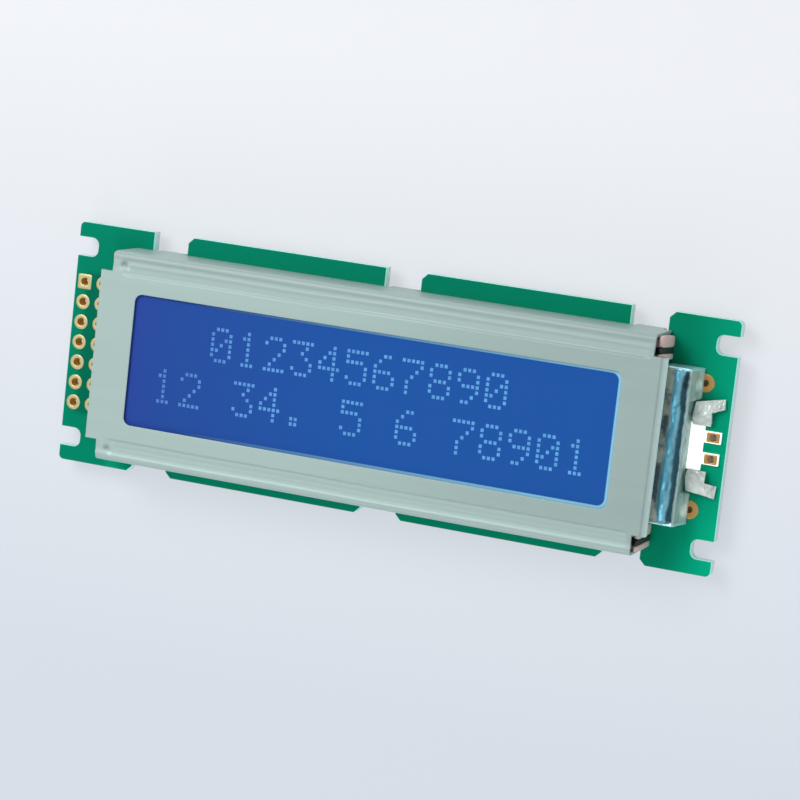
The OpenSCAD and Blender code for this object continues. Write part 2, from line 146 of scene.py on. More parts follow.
# %% Welding and outward normals
def weld(piece, distance=0.004, upwards=False):
    """Merges points nearer than the distance, in millimetres, and turns the faces outwards."""
    work = bmesh.new()
    work.from_mesh(piece.data)
    bmesh.ops.remove_doubles(work, verts=work.verts, dist=distance * MM)
    bmesh.ops.dissolve_degenerate(work, edges=work.edges, dist=distance * MM / 10)
    bmesh.ops.recalc_face_normals(work, faces=work.faces)
    tilt = sum(face.normal.z * face.calc_area() for face in work.faces)
    if upwards and tilt < 0:
        bmesh.ops.reverse_faces(work, faces=work.faces)
    work.to_mesh(piece.data)
    work.free()
    return piece


# %% Thickness and soft edges
def thicken(piece, thickness, even=True):
    """Gives an open sheet its thickness, in millimetres, on the inner side of its faces."""
    wall = piece.modifiers.new("thickness", "SOLIDIFY")
    wall.thickness = thickness * MM
    wall.offset = -1.0
    wall.use_even_offset = even
    wall.use_quality_normals = True
    return piece


def soften(piece, width, segments=2, angle=50):
    """Rounds the sharp edges of a piece; the width is in millimetres."""
    edge = piece.modifiers.new("edges", "BEVEL")
    edge.width = width * MM
    edge.segments = segments
    edge.limit_method = "ANGLE"
    edge.angle_limit = math.radians(angle)
    edge.use_clamp_overlap = False
    edge.harden_normals = True
    return piece


# %% Gentle waves for hand-made surfaces
def waves(u, v, seed, length, count=7):
    """Sum of sine waves in seeded directions, between about -1 and 1, over places u and v."""
    chance = np.random.default_rng(seed)
    total = np.zeros(np.broadcast(u, v).shape)
    for turn, phase, stretch in chance.uniform(0, 1, (count, 3)):
        across = u * math.cos(turn * math.tau) + v * math.sin(turn * math.tau)
        total = total + np.sin(math.tau * (across / (length * (0.6 + stretch)) + phase))
    return total / math.sqrt(count * 2)


def ease(value, start, end):
    """0 before start, 1 after end, and a smooth rise between them."""
    t = np.clip((value - start) / (end - start), 0, 1)
    return t * t * (3 - 2 * t)


# %% [markdown]
# ## Helpers for node materials
# Colours are written as they look on a screen and turned into linear light. A node helper adds
# one node, sets it, and links whatever it is given. Two shader node groups are shared by many
# finishes: one varies a colour in soft patches, and one makes a bump from two sizes of noise.


# %% Colours and nodes
def shade(red, green, blue):
    """A screen colour from 0 to 255 as linear light, with full cover."""
    screen = np.array([red, green, blue]) / 255
    linear = np.where(screen <= 0.04045, screen / 12.92, ((screen + 0.055) / 1.055) ** 2.4)
    return (*linear.tolist(), 1.0)


def add_node(tree, kind, inputs=None, **settings):
    """Adds a node; each input is a value or a socket that is linked to it."""
    made = tree.nodes.new(kind)
    for key, value in settings.items():
        setattr(made, key, value)
    for key, value in (inputs or {}).items():
        if isinstance(value, bpy.types.NodeSocket):
            tree.links.new(value, made.inputs[key])
        else:
            made.inputs[key].default_value = value
    return made


def new_finish(name, **values):
    """A material with its Principled shader; constant values sit on the shader's own sockets."""
    finish = bpy.data.materials.new(name)
    finish.use_nodes = True
    shader = finish.node_tree.nodes["Principled BSDF"]
    for key, value in values.items():
        shader.inputs[key.replace("_", " ")].default_value = value
    return finish, finish.node_tree, shader


def ramp(tree, factor, stops):
    """A colour ramp: each stop is a place from 0 to 1 and a colour."""
    made = add_node(tree, "ShaderNodeValToRGB", {"Fac": factor})
    elements = made.color_ramp.elements
    while len(elements) < len(stops):
        elements.new(0.5)
    for element, (place, colour) in zip(elements, stops):
        element.position = place
        element.color = colour
    return made.outputs["Color"]


# %% Arithmetic and mixing with nodes
def math_node(tree, operation, *values):
    """The result of one piece of arithmetic on values or sockets."""
    return add_node(tree, "ShaderNodeMath", dict(enumerate(values)), operation=operation).outputs[0]


def spread_out(tree, value, low, high, start=0.0, end=1.0):
    """A value moved from the range low to high onto the range start to end, held at both ends."""
    return add_node(tree, "ShaderNodeMapRange", {
        "Value": value, "From Min": low, "From Max": high, "To Min": start, "To Max": end},
        ).outputs["Result"]


def mixed_colour(tree, share, first, second):
    """The first colour where share is 0, and the second where it is 1."""
    return add_node(tree, "ShaderNodeMix", {"Factor": share, 6: first, 7: second},
                    data_type="RGBA").outputs[2]


def tinted(tree, colour, factor):
    """A colour times a value."""
    return add_node(tree, "ShaderNodeVectorMath", {0: colour, "Scale": factor},
                    operation="SCALE").outputs["Vector"]


# %% Links, places and noise
def put(shader, key, output):
    """Links an output to one input of a shader."""
    shader.id_data.links.new(output, shader.inputs[key])


def place_of(tree):
    """Place on the object, in metres, from its own coordinates."""
    return add_node(tree, "ShaderNodeTexCoord").outputs["Object"]


def parts_of(tree, vector):
    """The outputs X, Y and Z of a vector."""
    return add_node(tree, "ShaderNodeSeparateXYZ", {"Vector": vector}).outputs


def noise(tree, where, scale, detail=2.0, **more):
    """Soft noise from 0 to 1 over a place."""
    return add_node(tree, "ShaderNodeTexNoise", {
        "Vector": where, "Scale": scale, "Detail": detail, **more}).outputs["Fac"]


def axis_value(tree, axis, low, high):
    """Place along one axis of the object, from 0 at low to 1 at high, in millimetres."""
    return spread_out(tree, parts_of(tree, place_of(tree))[axis], low * MM, high * MM)


# %% Shared group: soft patches of colour
def make_mottle():
    """Group that moves a colour's brightness up and down in soft patches."""
    group = bpy.data.node_groups.new("Mottle", "ShaderNodeTree")
    face = group.interface
    face.new_socket("Color", in_out="INPUT", socket_type="NodeSocketColor")
    for name, value in (("Scale", 60.0), ("Amount", 0.1)):
        socket = face.new_socket(name, in_out="INPUT", socket_type="NodeSocketFloat")
        socket.default_value = value
    face.new_socket("Color", in_out="OUTPUT", socket_type="NodeSocketColor")
    given = group.nodes.new("NodeGroupInput").outputs
    patches = noise(group, place_of(group), given["Scale"], 4.0, Roughness=0.6)
    centred = math_node(group, "SUBTRACT", patches, 0.5)
    swing = math_node(group, "MULTIPLY_ADD", centred, given["Amount"], 1.0)
    end = group.nodes.new("NodeGroupOutput")
    group.links.new(tinted(group, given["Color"], swing), end.inputs["Color"])
    return group


mottle = make_mottle()
print("group", mottle.name, "has", len(mottle.nodes), "nodes")


# %% Shared group: bump of two grain sizes
def make_grain():
    """Group that turns fine and coarse noise into a bumped normal."""
    group = bpy.data.node_groups.new("Grain", "ShaderNodeTree")
    face = group.interface
    for name, value in (("Fine", 4000.0), ("Coarse", 300.0), ("Share", 0.3),
                        ("Strength", 0.2), ("Depth", 0.00002)):
        socket = face.new_socket(name, in_out="INPUT", socket_type="NodeSocketFloat")
        socket.default_value = value
    face.new_socket("Normal", in_out="OUTPUT", socket_type="NodeSocketVector")
    given = group.nodes.new("NodeGroupInput").outputs
    where = place_of(group)
    fine = noise(group, where, given["Fine"], 3.0)
    coarse = noise(group, where, given["Coarse"])
    height = add_node(group, "ShaderNodeMix", {"Factor": given["Share"], 2: fine, 3: coarse})
    bump = add_node(group, "ShaderNodeBump", {
        "Height": height.outputs[0], "Strength": given["Strength"], "Distance": given["Depth"]})
    end = group.nodes.new("NodeGroupOutput")
    group.links.new(bump.outputs["Normal"], end.inputs["Normal"])
    return group


grain = make_grain()
print("group", grain.name, "has", len(grain.nodes), "nodes")


# %% Using the shared groups
def mottled(tree, colour, scale, amount):
    """The colour, varied by the shared group."""
    made = add_node(tree, "ShaderNodeGroup", node_tree=mottle)
    made.inputs["Scale"].default_value = scale
    made.inputs["Amount"].default_value = amount
    if isinstance(colour, bpy.types.NodeSocket):
        put(made, "Color", colour)
    else:
        made.inputs["Color"].default_value = colour
    return made.outputs["Color"]


def grained(tree, shader, fine, coarse, share, strength, depth):
    """Bumps a shader with the shared group; depth is in millimetres."""
    made = add_node(tree, "ShaderNodeGroup", node_tree=grain)
    for key, value in (("Fine", fine), ("Coarse", coarse), ("Share", share),
                       ("Strength", strength), ("Depth", depth * MM)):
        made.inputs[key].default_value = value
    put(shader, "Normal", made.outputs["Normal"])
    return made


# %% Masks and spots
def soft_box(tree, where, x_range, y_range, soft):
    """1 inside a rectangle seen from above and 0 outside, with a soft border; millimetres."""
    parts = parts_of(tree, where)
    total = 1.0
    for axis, (low, high) in (("X", x_range), ("Y", y_range)):
        for edge, inward in ((low, soft), (high, -soft)):
            side = spread_out(tree, parts[axis], (edge - inward / 2) * MM, (edge + inward / 2) * MM)
            total = math_node(tree, "MULTIPLY", side, total)
    return total


def spots(tree, where, total, places):
    """Multiplies a value by a factor near each place: x, y, z, inner and outer radius, factor."""
    for x, y, z, inner, outer, factor in places:
        away = add_node(tree, "ShaderNodeVectorMath", {
            0: where, 1: (x * MM, y * MM, z * MM)}, operation="DISTANCE")
        spot = spread_out(tree, away.outputs["Value"], inner * MM, outer * MM, factor)
        total = math_node(tree, "MULTIPLY", total, spot)
    return total


# %% Finish of a solid that stays
def finish_node(node, finish):
    """Puts a finish on a solid that keeps its own shape."""
    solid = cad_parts[node]
    solid.data.materials.clear()
    solid.data.materials.append(finish)
    return solid


# %% [markdown]
# ## The bezel
# On the real module the bezel is stamped from one thin sheet. The face stands a little proud of
# two long shoulders, the ends are rolled down into lips, the sides are bent into walls, and six
# tabs pass through the board and fold under it. It could be boxes with bevels, but then the
# pressed step would have no soft start. Here the face is a ring of loops round the window, each
# shoulder and wall is one section carried along the bezel, and the height of the shoulder is a
# formula of both directions, so the step can fade out and carry its creases and dimples.


# %% Loops round the window
def loop_side(count, bend, straight, reach, radius):
    """Points of one side of a rounded window, from the middle of one corner to the next.

    The first and the last few points run round half a corner of the given radius, and the rest
    are spread along the straight part. Columns: place along the side, distance from the middle.
    """
    turn = np.linspace(-math.pi / 4, 0, bend + 1)
    first = np.stack([-straight + radius * np.sin(turn), reach + radius * np.cos(turn)], axis=1)
    last = np.stack([-first[::-1, 0], first[::-1, 1]], axis=1)
    along = np.linspace(-straight, straight, count - 2 * bend + 1)[1:-1]
    middle = np.stack([along, np.full_like(along, reach + radius)], axis=1)
    return np.concatenate([first, middle, last])[:-1]


def turned_sides(bottom, right):
    """Four sides of a loop from two: the top and the left repeat the bottom and the right."""
    return np.concatenate([
        np.stack([bottom[:, 0], -bottom[:, 1]], axis=1), np.stack([right[:, 1], right[:, 0]], axis=1),
        np.stack([-bottom[:, 0], bottom[:, 1]], axis=1), np.stack([-right[:, 1], -right[:, 0]], axis=1)])


def window_loop(grow, count_x, count_y, bend=9):
    """The window's outline, grown outwards by a distance, with a fixed number of points."""
    straight = [half - WINDOW_R for half in WINDOW_HALF]
    radius = WINDOW_R + grow
    bottom = loop_side(count_x, bend, straight[0], straight[1], radius)
    right = loop_side(count_y, bend, straight[1], straight[0], radius)
    return turned_sides(bottom, right)


# %% Places along and across the bezel
tab_edges = [x + side * TAB_HALF for x in TAB_X for side in (-1, 1)]
bezel_x = np.unique(np.round(np.concatenate([
    np.linspace(-SHOULDER_HALF, SHOULDER_HALF, 173), np.linspace(-SHOULDER_HALF, -31.2, 33),
    np.linspace(33.4, SHOULDER_HALF, 11), tab_edges]), 3))
bezel_x = bezel_x[np.concatenate([[True], np.diff(bezel_x) > 0.03])]
bezel_x[-1] = SHOULDER_HALF
for edge in tab_edges:
    bezel_x[np.argmin(np.abs(bezel_x - edge))] = edge
bezel_y = np.linspace(-FACE_HALF[1], FACE_HALF[1], 61)
print(len(bezel_x), "places along,", len(bezel_y), "places across")


# %% The shoulder's height
STEP_Y = np.array([10.0, 10.05, 10.12, 10.22, 10.32, 10.45, 10.6, 10.98, 11.08, 11.2, 11.32, 11.44,
                   11.56, 11.82, 11.92, 12.04, 12.13, 12.2])
STEP_Z = np.array([0, 0.01, 0.05, 0.15, 0.2, 0.21, 0.19, 0.2, 0.195, 0.17, 0.165, 0.175,
                   0.205, 0.225, 0.21, 0.165, 0.15, 0.15])
BEND_DROP = STEP_Z[-1]
PIT = (-33.0, 11.35)


def shoulder_drop(x, y):
    """How far the sheet lies below the face at x along and y across, y measured outwards.

    The full step follows a table of depths across: down from the face, over a small bead and up
    to a larger one where the bend begins. It drifts a little along the bezel. Near both ends it
    eases into a plain slope, and a small pit marks the corner of the pressing tool.
    """
    drift = 0.05 * waves(x, y * 0.2, seed=4, length=19) * ease(y, 10.0, 10.3) * ease(12.2 - y, 0, 0.3)
    step = np.interp(y + drift, STEP_Y, STEP_Z)
    plain = BEND_DROP * np.clip((y - FACE_HALF[1]) / (STEP_Y[-1] - FACE_HALF[1]), 0, 1)
    share = ease(x, -33.3, -32.3) * (1 - ease(x, 33.4, 34.2))
    pit = 0.2 * np.exp(-((x - PIT[0]) / 0.4) ** 2 - ((y - PIT[1]) / 0.4) ** 2)
    pip = -0.08 * np.exp(-((x + 32.35) / 0.25) ** 2 - ((y - 11.0) / 0.25) ** 2)
    fade = ease(12.2 - y, 0.0, 0.15) * ease(y, 10.4, 10.6)
    return plain + (step - plain) * share + (pit + pip) * fade


# %% The face round the window
def bezel_face():
    """Ring of loops from the face's outline in to the window, with a rounded inner edge."""
    count_x, count_y = len(bezel_x) - 1, len(bezel_y) - 1
    outline = np.concatenate([
        np.stack([bezel_x[:-1], np.full(count_x, bezel_y[0])], axis=1),
        np.stack([np.full(count_y, SHOULDER_HALF), bezel_y[:-1]], axis=1),
        np.stack([bezel_x[:0:-1], np.full(count_x, bezel_y[-1])], axis=1),
        np.stack([np.full(count_y, -SHOULDER_HALF), bezel_y[:0:-1]], axis=1)])
    rim = window_loop(0.14, count_x, count_y)
    shares = (0.0, 0.03, 0.06, 0.09, 0.12, 0.15, 0.18, 0.25, 0.6, 1.0)
    loops = [outline + (rim - outline) * share for share in shares]
    heights = [0.0] * len(shares)
    for grow, drop in ((0.08, 0.008), (0.04, 0.03), (0.012, 0.065), (0.0, 0.11)):
        loops.append(window_loop(grow, count_x, count_y))
        heights.append(-drop)
    flat = np.stack(loops)
    lift = np.array(heights)[:, None] - shoulder_drop(flat[:, :, 0], np.abs(flat[:, :, 1]))
    return patch(np.concatenate([flat, FACE_TOP + lift[:, :, None]], axis=2), ring=True)


# %% Shoulder, bend and wall
def bezel_side():
    """One long side: rows run from the face's edge out over the shoulder and down the wall."""
    across = np.linspace(FACE_HALF[1], WALL_Y - BEND, 37)
    x, y = np.meshgrid(bezel_x, across)
    top = np.stack([x, y, FACE_TOP - shoulder_drop(x, y)], axis=2)
    turn = np.linspace(0, math.pi / 2, 9)[1:]
    bend_y = WALL_Y - BEND + BEND * np.sin(turn)
    bend_z = FACE_TOP - BEND_DROP - BEND + BEND * np.cos(turn)
    wall_z = np.array([8.4, 7.2, 5.6, 4.2, 3.4, BOARD_TOP])
    section = np.concatenate([
        np.stack([bend_y, bend_z], axis=1), np.stack([np.full(6, WALL_Y), wall_z], axis=1)])
    x, row = np.meshgrid(bezel_x, np.arange(len(section)))
    down = np.stack([x, section[row, 0], section[row, 1]], axis=2)
    down[:, :, 1] -= 0.012 * (1 - waves(x, down[:, :, 2], seed=9, length=24)) * ease(row, 8, 11)
    return patch(np.concatenate([top, down]))


# %% Tabs
def bezel_tab(middle):
    """A tab: straight down through the board, folded inwards, and narrower at its tip."""
    columns = bezel_x[(bezel_x > middle - TAB_HALF - 0.01) & (bezel_x < middle + TAB_HALF + 0.01)]
    turn = np.linspace(0, math.pi / 2, 8)
    fold = TAB_FOLD + SHEET
    centre_y, centre_z = WALL_Y - fold, BOARD_BACK + TAB_FOLD
    down = np.stack([np.full(5, WALL_Y), np.linspace(BOARD_TOP, centre_z, 6)[:-1]], axis=1)
    bend = np.stack([centre_y + fold * np.cos(turn), centre_z - fold * np.sin(turn)], axis=1)
    foot_y = centre_y - TAB_FOOT * np.array([0.3, 0.6, 0.75, 0.85, 0.93, 0.98, 1.0])
    foot = np.stack([foot_y, np.full(7, BOARD_BACK - SHEET)], axis=1)
    section = np.concatenate([down, bend, foot])
    x, row = np.meshgrid(columns, np.arange(len(section)))
    reach = centre_y - section[row, 0]
    width = 1 - 0.3 * np.clip((reach - TAB_FOOT * 0.7) / (TAB_FOOT * 0.3), 0, 1) ** 2
    points = np.stack([middle + (x - middle) * width, section[row, 0], section[row, 1]], axis=2)
    points[0, :, 1] = WALL_Y
    return patch(points)


# %% Rolled lips
COIN_X = 35.48  # middle of the coined line
COIN_HALF = 0.11  # half of its width


def bezel_lip(depth):
    """The right-hand lip: a coined line of the given depth, then the sheet rolled down."""
    flat_x = np.concatenate([[34.4, 34.7, 35.0], np.linspace(35.2, 35.68, 13)])
    coin = depth * np.exp(-((flat_x - COIN_X) / COIN_HALF) ** 2)
    turn = np.linspace(0, math.pi / 2, 10)[1:]
    end = FACE_HALF[0]
    x = np.concatenate([flat_x, end - ROLL_R + ROLL_R * np.sin(turn), [end, end]])
    z = np.concatenate([FACE_TOP - coin, FACE_TOP - ROLL_R + ROLL_R * np.cos(turn),
                        [FACE_TOP - 0.6, FACE_TOP - LIP]])
    row, y = np.meshgrid(np.arange(len(x)), bezel_y, indexing="ij")
    return patch(np.stack([x[row], y, z[row]], axis=2))


# %% Mirrored patches
def mirrored(made, axis):
    """A patch mirrored across x = 0 or y = 0, with its faces turned to match."""
    points, faces = made
    points = points.copy()
    points[:, axis] *= -1
    return points, faces[:, ::-1]


# %% The whole bezel
def build_bezel(finish):
    """Welds face, shoulders, walls, tabs and lips into one sheet and gives it its thickness."""
    side = bezel_side()
    tabs = [bezel_tab(x) for x in TAB_X]
    half = [side, *tabs]
    patches = [bezel_face(), *half, *[mirrored(p, 1) for p in half],
               bezel_lip(0.06), mirrored(bezel_lip(0.0), 0)]
    points, faces = joined(patches)
    points = points + np.array([0, MIDDLE_Y, 0])
    made = mesh_piece("bezel_sheet", points, faces, finish)
    weld(made, upwards=True)
    thicken(made, SHEET)
    soften(made, 0.045)
    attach(made, "root")
    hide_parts("bezel")
    print("bezel:", len(made.data.vertices), "points,", len(made.data.polygons), "faces")
    return made


# %% [markdown]
# ### Satin paint
# The sheet carries a thin grey-green coat. Paint like this is smooth but not quite even: it is a
# touch paler or darker in broad clouds, and a faint orange peel breaks up its reflections. The
# noise is stretched along the bezel, because the sheet was rolled that way. A painted sheen on the
# long flat face falls off from the left to the right, and painted shade lies on the sheet below
# the face. Painted highlights and painted shade run in lines along the creases and the rolled
# edge, with painted shade in the two pits and painted glints beside them.

# %% Painted highlight and shade lines across the sheet and along the lip: a place in millimetres and a factor
PAINTED_LIGHT_Y = ((-13.0, 1.25), (-12.6, 1.05), (-12.3, 1.0), (-12.1, 1.15), (-11.9, 1.24), (-11.6, 1.1),
          (-11.35, 1.0), (10.5, 1.0), (11.1, 0.92), (11.3, 0.92), (11.6, 0.97), (11.9, 0.86),
          (12.15, 0.8), (12.4, 0.86), (12.6, 0.92), (13.0, 0.96))
PAINTED_LIGHT_X = ((35.2, 1.0), (35.36, 0.88), (35.48, 0.82), (35.58, 0.96), (35.74, 1.12), (35.84, 1.3),
          (36.0, 1.9))

# %% Painted shade in the pits of the pressing tool and painted glints beside them: x, y, z, inner and outer radius in millimetres, and a factor
PIT_SHADE_AND_GLINTS = (
    (PIT[0], PIT[1], FACE_TOP - 0.3, 0.1, 0.6, 0.62),
    (PIT[0], -PIT[1], FACE_TOP - 0.3, 0.1, 0.6, 0.62),
    (-32.35, 10.75, FACE_TOP, 0.16, 0.4, 1.4), (-32.5, -12.0, FACE_TOP, 0.18, 0.42, 1.3))


def painted_light_along(tree, place, low, high, table):
    """A factor of painted light and shade from 0 to 2 along one axis: a ramp of greys holds half of each
    factor.
    """
    greys = ramp(tree, spread_out(tree, place, low * MM, high * MM), [
        ((where - low) / (high - low), (factor / 2,) * 3 + (1.0,)) for where, factor in table])
    return math_node(tree, "MULTIPLY", greys, 2.0)


# %% Painted sheen and shade: the face from left to right, and the sheet below it
FACE_SHEEN = (0.95, 0.82)
FACE_SHEEN_X = (-14, 26)
SHOULDER_SHADE = 0.92


def painted_sheen_and_shade(tree, where):
    """Factor of painted light on the paint: a paler sheen on the left of the raised face, shade in the
    two pits.

    The raised face is told from the shoulders by its height, and the pits and the painted glints
    beside them by the distance from their middle.
    """
    parts = parts_of(tree, where)
    raised = spread_out(tree, parts["Z"], (FACE_TOP - 0.2) * MM, (FACE_TOP - 0.05) * MM)
    along = add_node(tree, "ShaderNodeMapRange", {
        "Value": parts["X"], "From Min": FACE_SHEEN_X[0] * MM, "From Max": FACE_SHEEN_X[1] * MM,
        "To Min": FACE_SHEEN[0], "To Max": FACE_SHEEN[1]}, interpolation_type="SMOOTHSTEP")
    tone = add_node(tree, "ShaderNodeMix", {
        "Factor": raised, 2: SHOULDER_SHADE, 3: along.outputs["Result"]})
    total = spots(tree, where, tone.outputs[0], PIT_SHADE_AND_GLINTS)
    for factor in (painted_light_along(tree, parts["Y"], -13, 13, PAINTED_LIGHT_Y), painted_light_along(tree, parts["X"], 35.2, 36.0, PAINTED_LIGHT_X)):
        total = math_node(tree, "MULTIPLY", total, factor)
    return total


# %% Finish of the bezel
def paint_finish():
    """Satin grey-green paint, with broad clouds, drawn lines along the sheet and fine peel."""
    finish, tree, shader = new_finish("bezel_paint", Roughness=0.42, Coat_Weight=0.12,
                                      Coat_Roughness=0.3, Specular_IOR_Level=0.45)
    where = place_of(tree)
    drawn = add_node(tree, "ShaderNodeMapping", {"Vector": where, "Scale": (18, 900, 900)})
    base = ramp(tree, noise(tree, drawn.outputs["Vector"], 1.0, 3.0), [
        (0.3, shade(163, 185, 180)), (0.7, shade(166, 188, 183))])
    # the paint's colour times its painted sheen, shade, glints and lines of highlight and shade
    paint_and_painted_light = tinted(tree, base, painted_sheen_and_shade(tree, where))
    put(shader, "Base Color", mottled(tree, paint_and_painted_light, 45.0, 0.05))
    grained(tree, shader, 2500.0, 160.0, 0.35, 0.25, 0.01)
    return finish


bezel = build_bezel(paint_finish())

# %% [markdown]
# ## The display
# A liquid-crystal display of this kind shows sixteen characters in each of two lines, and each
# character is a block of five by eight small dots. Dots that are switched on let the light of
# the guide through. The film over the glass is one flat surface, so it is a grid whose lines are
# the edges of the dots: each dot is then exactly one face, and a number on that face tells the
# material whether the dot is lit. An image would blur; this stays crisp at any distance.

# %% Digits in five by seven dots
DIGITS = {
    "0": "01110 10001 10011 10101 11001 10001 01110",
    "1": "00100 01100 00100 00100 00100 00100 01110",
    "2": "01110 10001 00001 00010 00100 01000 11111",
    "3": "11111 00010 00100 00010 00001 10001 01110",
    "4": "00010 00110 01010 10010 11111 00010 00010",
    "5": "11111 10000 11110 00001 00001 10001 01110",
    "6": "00110 01000 10000 11110 10001 10001 01110",
    "7": "11111 00001 00010 00100 01000 01000 01000",
    "8": "01110 10001 10001 01110 10001 10001 01110",
    "9": "01110 10001 10001 01111 00001 00010 01100",
    ".": "00000 00000 00000 00000 00000 01100 01100",
    " ": "00000 00000 00000 00000 00000 00000 00000",
}
LINES = ("  01234567890   ", "12 34. 5 6 78901")
CELL_PITCH = 3.527
CELL_X = 0.18
DOT = (0.38, 0.41)
DOT_PITCH = (0.58, 0.63)
LINE_TOP = (5.24, -0.83)


def dot_table():
    """For the two lines: 8 x 80 arrays that hold 1 where a dot is lit."""
    tables = []
    for line in LINES:
        rows = ["".join(DIGITS[mark].split()[row] for mark in line) for row in range(7)]
        rows.append("0" * 80)
        tables.append(np.array([[int(dot) for dot in row] for row in rows]))
    return tables


dots = dot_table()
print("lit dots:", [int(table.sum()) for table in dots])


# %% Edges of the dots
def dot_edges(centres, size):
    """Both edges of each dot, in rising order."""
    return np.sort(np.concatenate([centres - size / 2, centres + size / 2]))


# %% The display as one grid
def build_display(finish):
    """A grid whose lines are the dots' edges; a face holds 1 if lit, 0.5 if it is a dark dot."""
    cells = (np.arange(16) - 7.5) * CELL_PITCH + CELL_X
    columns = (cells[:, None] + (np.arange(5) - 2) * DOT_PITCH[0]).ravel()
    rows = [top - np.arange(8) * DOT_PITCH[1] for top in LINE_TOP]
    x = np.concatenate([[cell_low[0]], dot_edges(columns, DOT[0]), [cell_high[0]]])
    y = np.concatenate([[cell_low[1]], dot_edges(rows[1], DOT[1]), dot_edges(rows[0], DOT[1]),
                        [cell_high[1]]])
    grid_x, grid_y = np.meshgrid(x, y)
    points = np.stack([grid_x, grid_y, np.full_like(grid_x, cell_high[2])], axis=2)
    state = np.zeros((len(y) - 1, len(x) - 1))
    for start, table in ((17, dots[0]), (1, dots[1])):
        state[start:start + 15:2, 1::2] = 0.5 + 0.5 * table[::-1]
    made = mesh_piece("display_film", *patch(points), finish, smooth=False)
    values = made.data.attributes.new("state", "FLOAT", "FACE")
    values.data.foreach_set("value", state.ravel().astype(np.float32))
    thicken(made, cell_high[2] - cell_low[2])
    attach(made, "root")
    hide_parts("front_polariser")
    print("display:", state.shape, "faces,", int((state == 1).sum()), "lit")
    return made


# %% [markdown]
# ### Blue film
# The ground is a deep blue that turns from violet at the far end to a clearer blue near the
# lamp, because the light guide hands on less light as it goes. A lit dot is pale blue. A little
# emission stands for the light behind the film, and a thin pale line along the window's rim is a
# painted highlight of the bezel's rolled edge, stronger towards the lamp.

# %% Painted highlight: pale line at the window's rim
RIM_CORNER = 1.2


def rim_highlight_mask(tree, where):
    """Mask of a painted highlight: 1 within a quarter of a millimetre of the window's edge, 0 further in
    and far from the lamp.

    The distance is that to a rectangle with round corners: the length of (|x| - a, |y| - b), with
    negative parts set to 0, less the corner's radius r.
    """
    parts = parts_of(tree, where)
    reach = []
    for axis, half, middle in (("X", WINDOW_HALF[0] - 0.14, 0.0), ("Y", WINDOW_HALF[1], MIDDLE_Y)):
        size = math_node(tree, "ABSOLUTE", math_node(tree, "SUBTRACT", parts[axis], middle * MM))
        past = math_node(tree, "SUBTRACT", size, (half - RIM_CORNER) * MM)
        reach.append(math_node(tree, "MAXIMUM", past, 0.0))
    both_ways = add_node(tree, "ShaderNodeCombineXYZ", {"X": reach[0], "Y": reach[1]})
    length = add_node(tree, "ShaderNodeVectorMath", {0: both_ways.outputs[0]}, operation="LENGTH")
    inner, outer = [(RIM_CORNER - inset) * MM for inset in (0.34, 0.22)]
    mask = spread_out(tree, length.outputs["Value"], inner, outer)
    highlight_side = spread_out(tree, parts["X"], -24 * MM, 24 * MM)
    return math_node(tree, "MULTIPLY", mask, highlight_side)


# %% Finish of the display
def display_finish():
    """Blue ground that changes along the cell, and the dots from the number on each face."""
    finish, tree, shader = new_finish("display_blue", Roughness=0.32, Specular_IOR_Level=0.06,
                                      Emission_Strength=0.06)
    along = axis_value(tree, "X", -32.0, 32.0)
    ground = ramp(tree, along, [
        (0.0, shade(40, 67, 145)), (0.12, shade(36, 72, 146)), (0.45, shade(30, 79, 153)),
        (1.0, shade(30, 82, 155))])
    # painted highlight: a pale line along the window's rim
    ground = mixed_colour(tree, rim_highlight_mask(tree, place_of(tree)), mottled(tree, ground, 30.0, 0.06),
                          shade(140, 196, 220))
    state = add_node(tree, "ShaderNodeAttribute", attribute_name="state").outputs["Fac"]
    level = math_node(tree, "MAXIMUM", spread_out(tree, state, 0.5, 1.0),
                      math_node(tree, "MULTIPLY", state, 0.015))
    bright = ramp(tree, along, [
        (0.05, shade(76, 120, 182)), (0.3, shade(90, 148, 204)), (1.0, shade(92, 158, 212))])
    colour = mixed_colour(tree, level, ground, mottled(tree, bright, 1400.0, 0.8))
    put(shader, "Base Color", colour)
    put(shader, "Emission Color", colour)
    grained(tree, shader, 6000.0, 500.0, 0.3, 0.06, 0.003)
    return finish


display = build_display(display_finish())

# %% [markdown]
# ## Plated holes
# Every hole in the board is lined with metal that turns over into a pad on both faces, like an
# eyelet. A pad could be a flat ring, but the real ones catch the light on their rounded rims.
# So the whole eyelet is a closed section carried round the hole, and its outline is a rounded
# square, a circle or a rectangle by the same formula.


# %% Eyelets
def eyelet(middle, hole, half, power, low, high, thick=0.05):
    """Closed section turned round a hole.

    Outside the barrel the radius is stretched to the outline |x/a|^p + |y/b|^p = 1: p = 2 gives
    a circle, and a large p a rectangle with round corners.
    """
    share = np.array([0, 0, 0.02, 0.07, 0.5, 0.88, 1])
    lift = np.array([0, 0.6, 0.85, 1, 1, 0.97, 0.6])
    top = np.stack([share, high - thick + thick * lift], axis=1)
    rim = np.array([[1.0, high - thick], [0.12, high - thick], [0.12, low + thick],
                    [1.0, low + thick]])
    back = np.stack([share[::-1], low + thick - thick * lift[::-1]], axis=1)
    section = np.concatenate([top, rim, back])
    turn = np.linspace(0, math.tau, 48, endpoint=False)
    edge = (np.abs(np.cos(turn) / half[0]) ** power + np.abs(np.sin(turn) / half[1]) ** power)
    edge = edge ** (-1 / power)
    radius = hole + section[:, 0][:, None] * (edge - hole)[None, :]
    points = np.stack([middle[0] + radius * np.cos(turn), middle[1] + radius * np.sin(turn),
                       np.broadcast_to(section[:, 1][:, None], radius.shape)], axis=2)
    points = np.concatenate([points, points[:1]])
    return patch(points, ring=True)


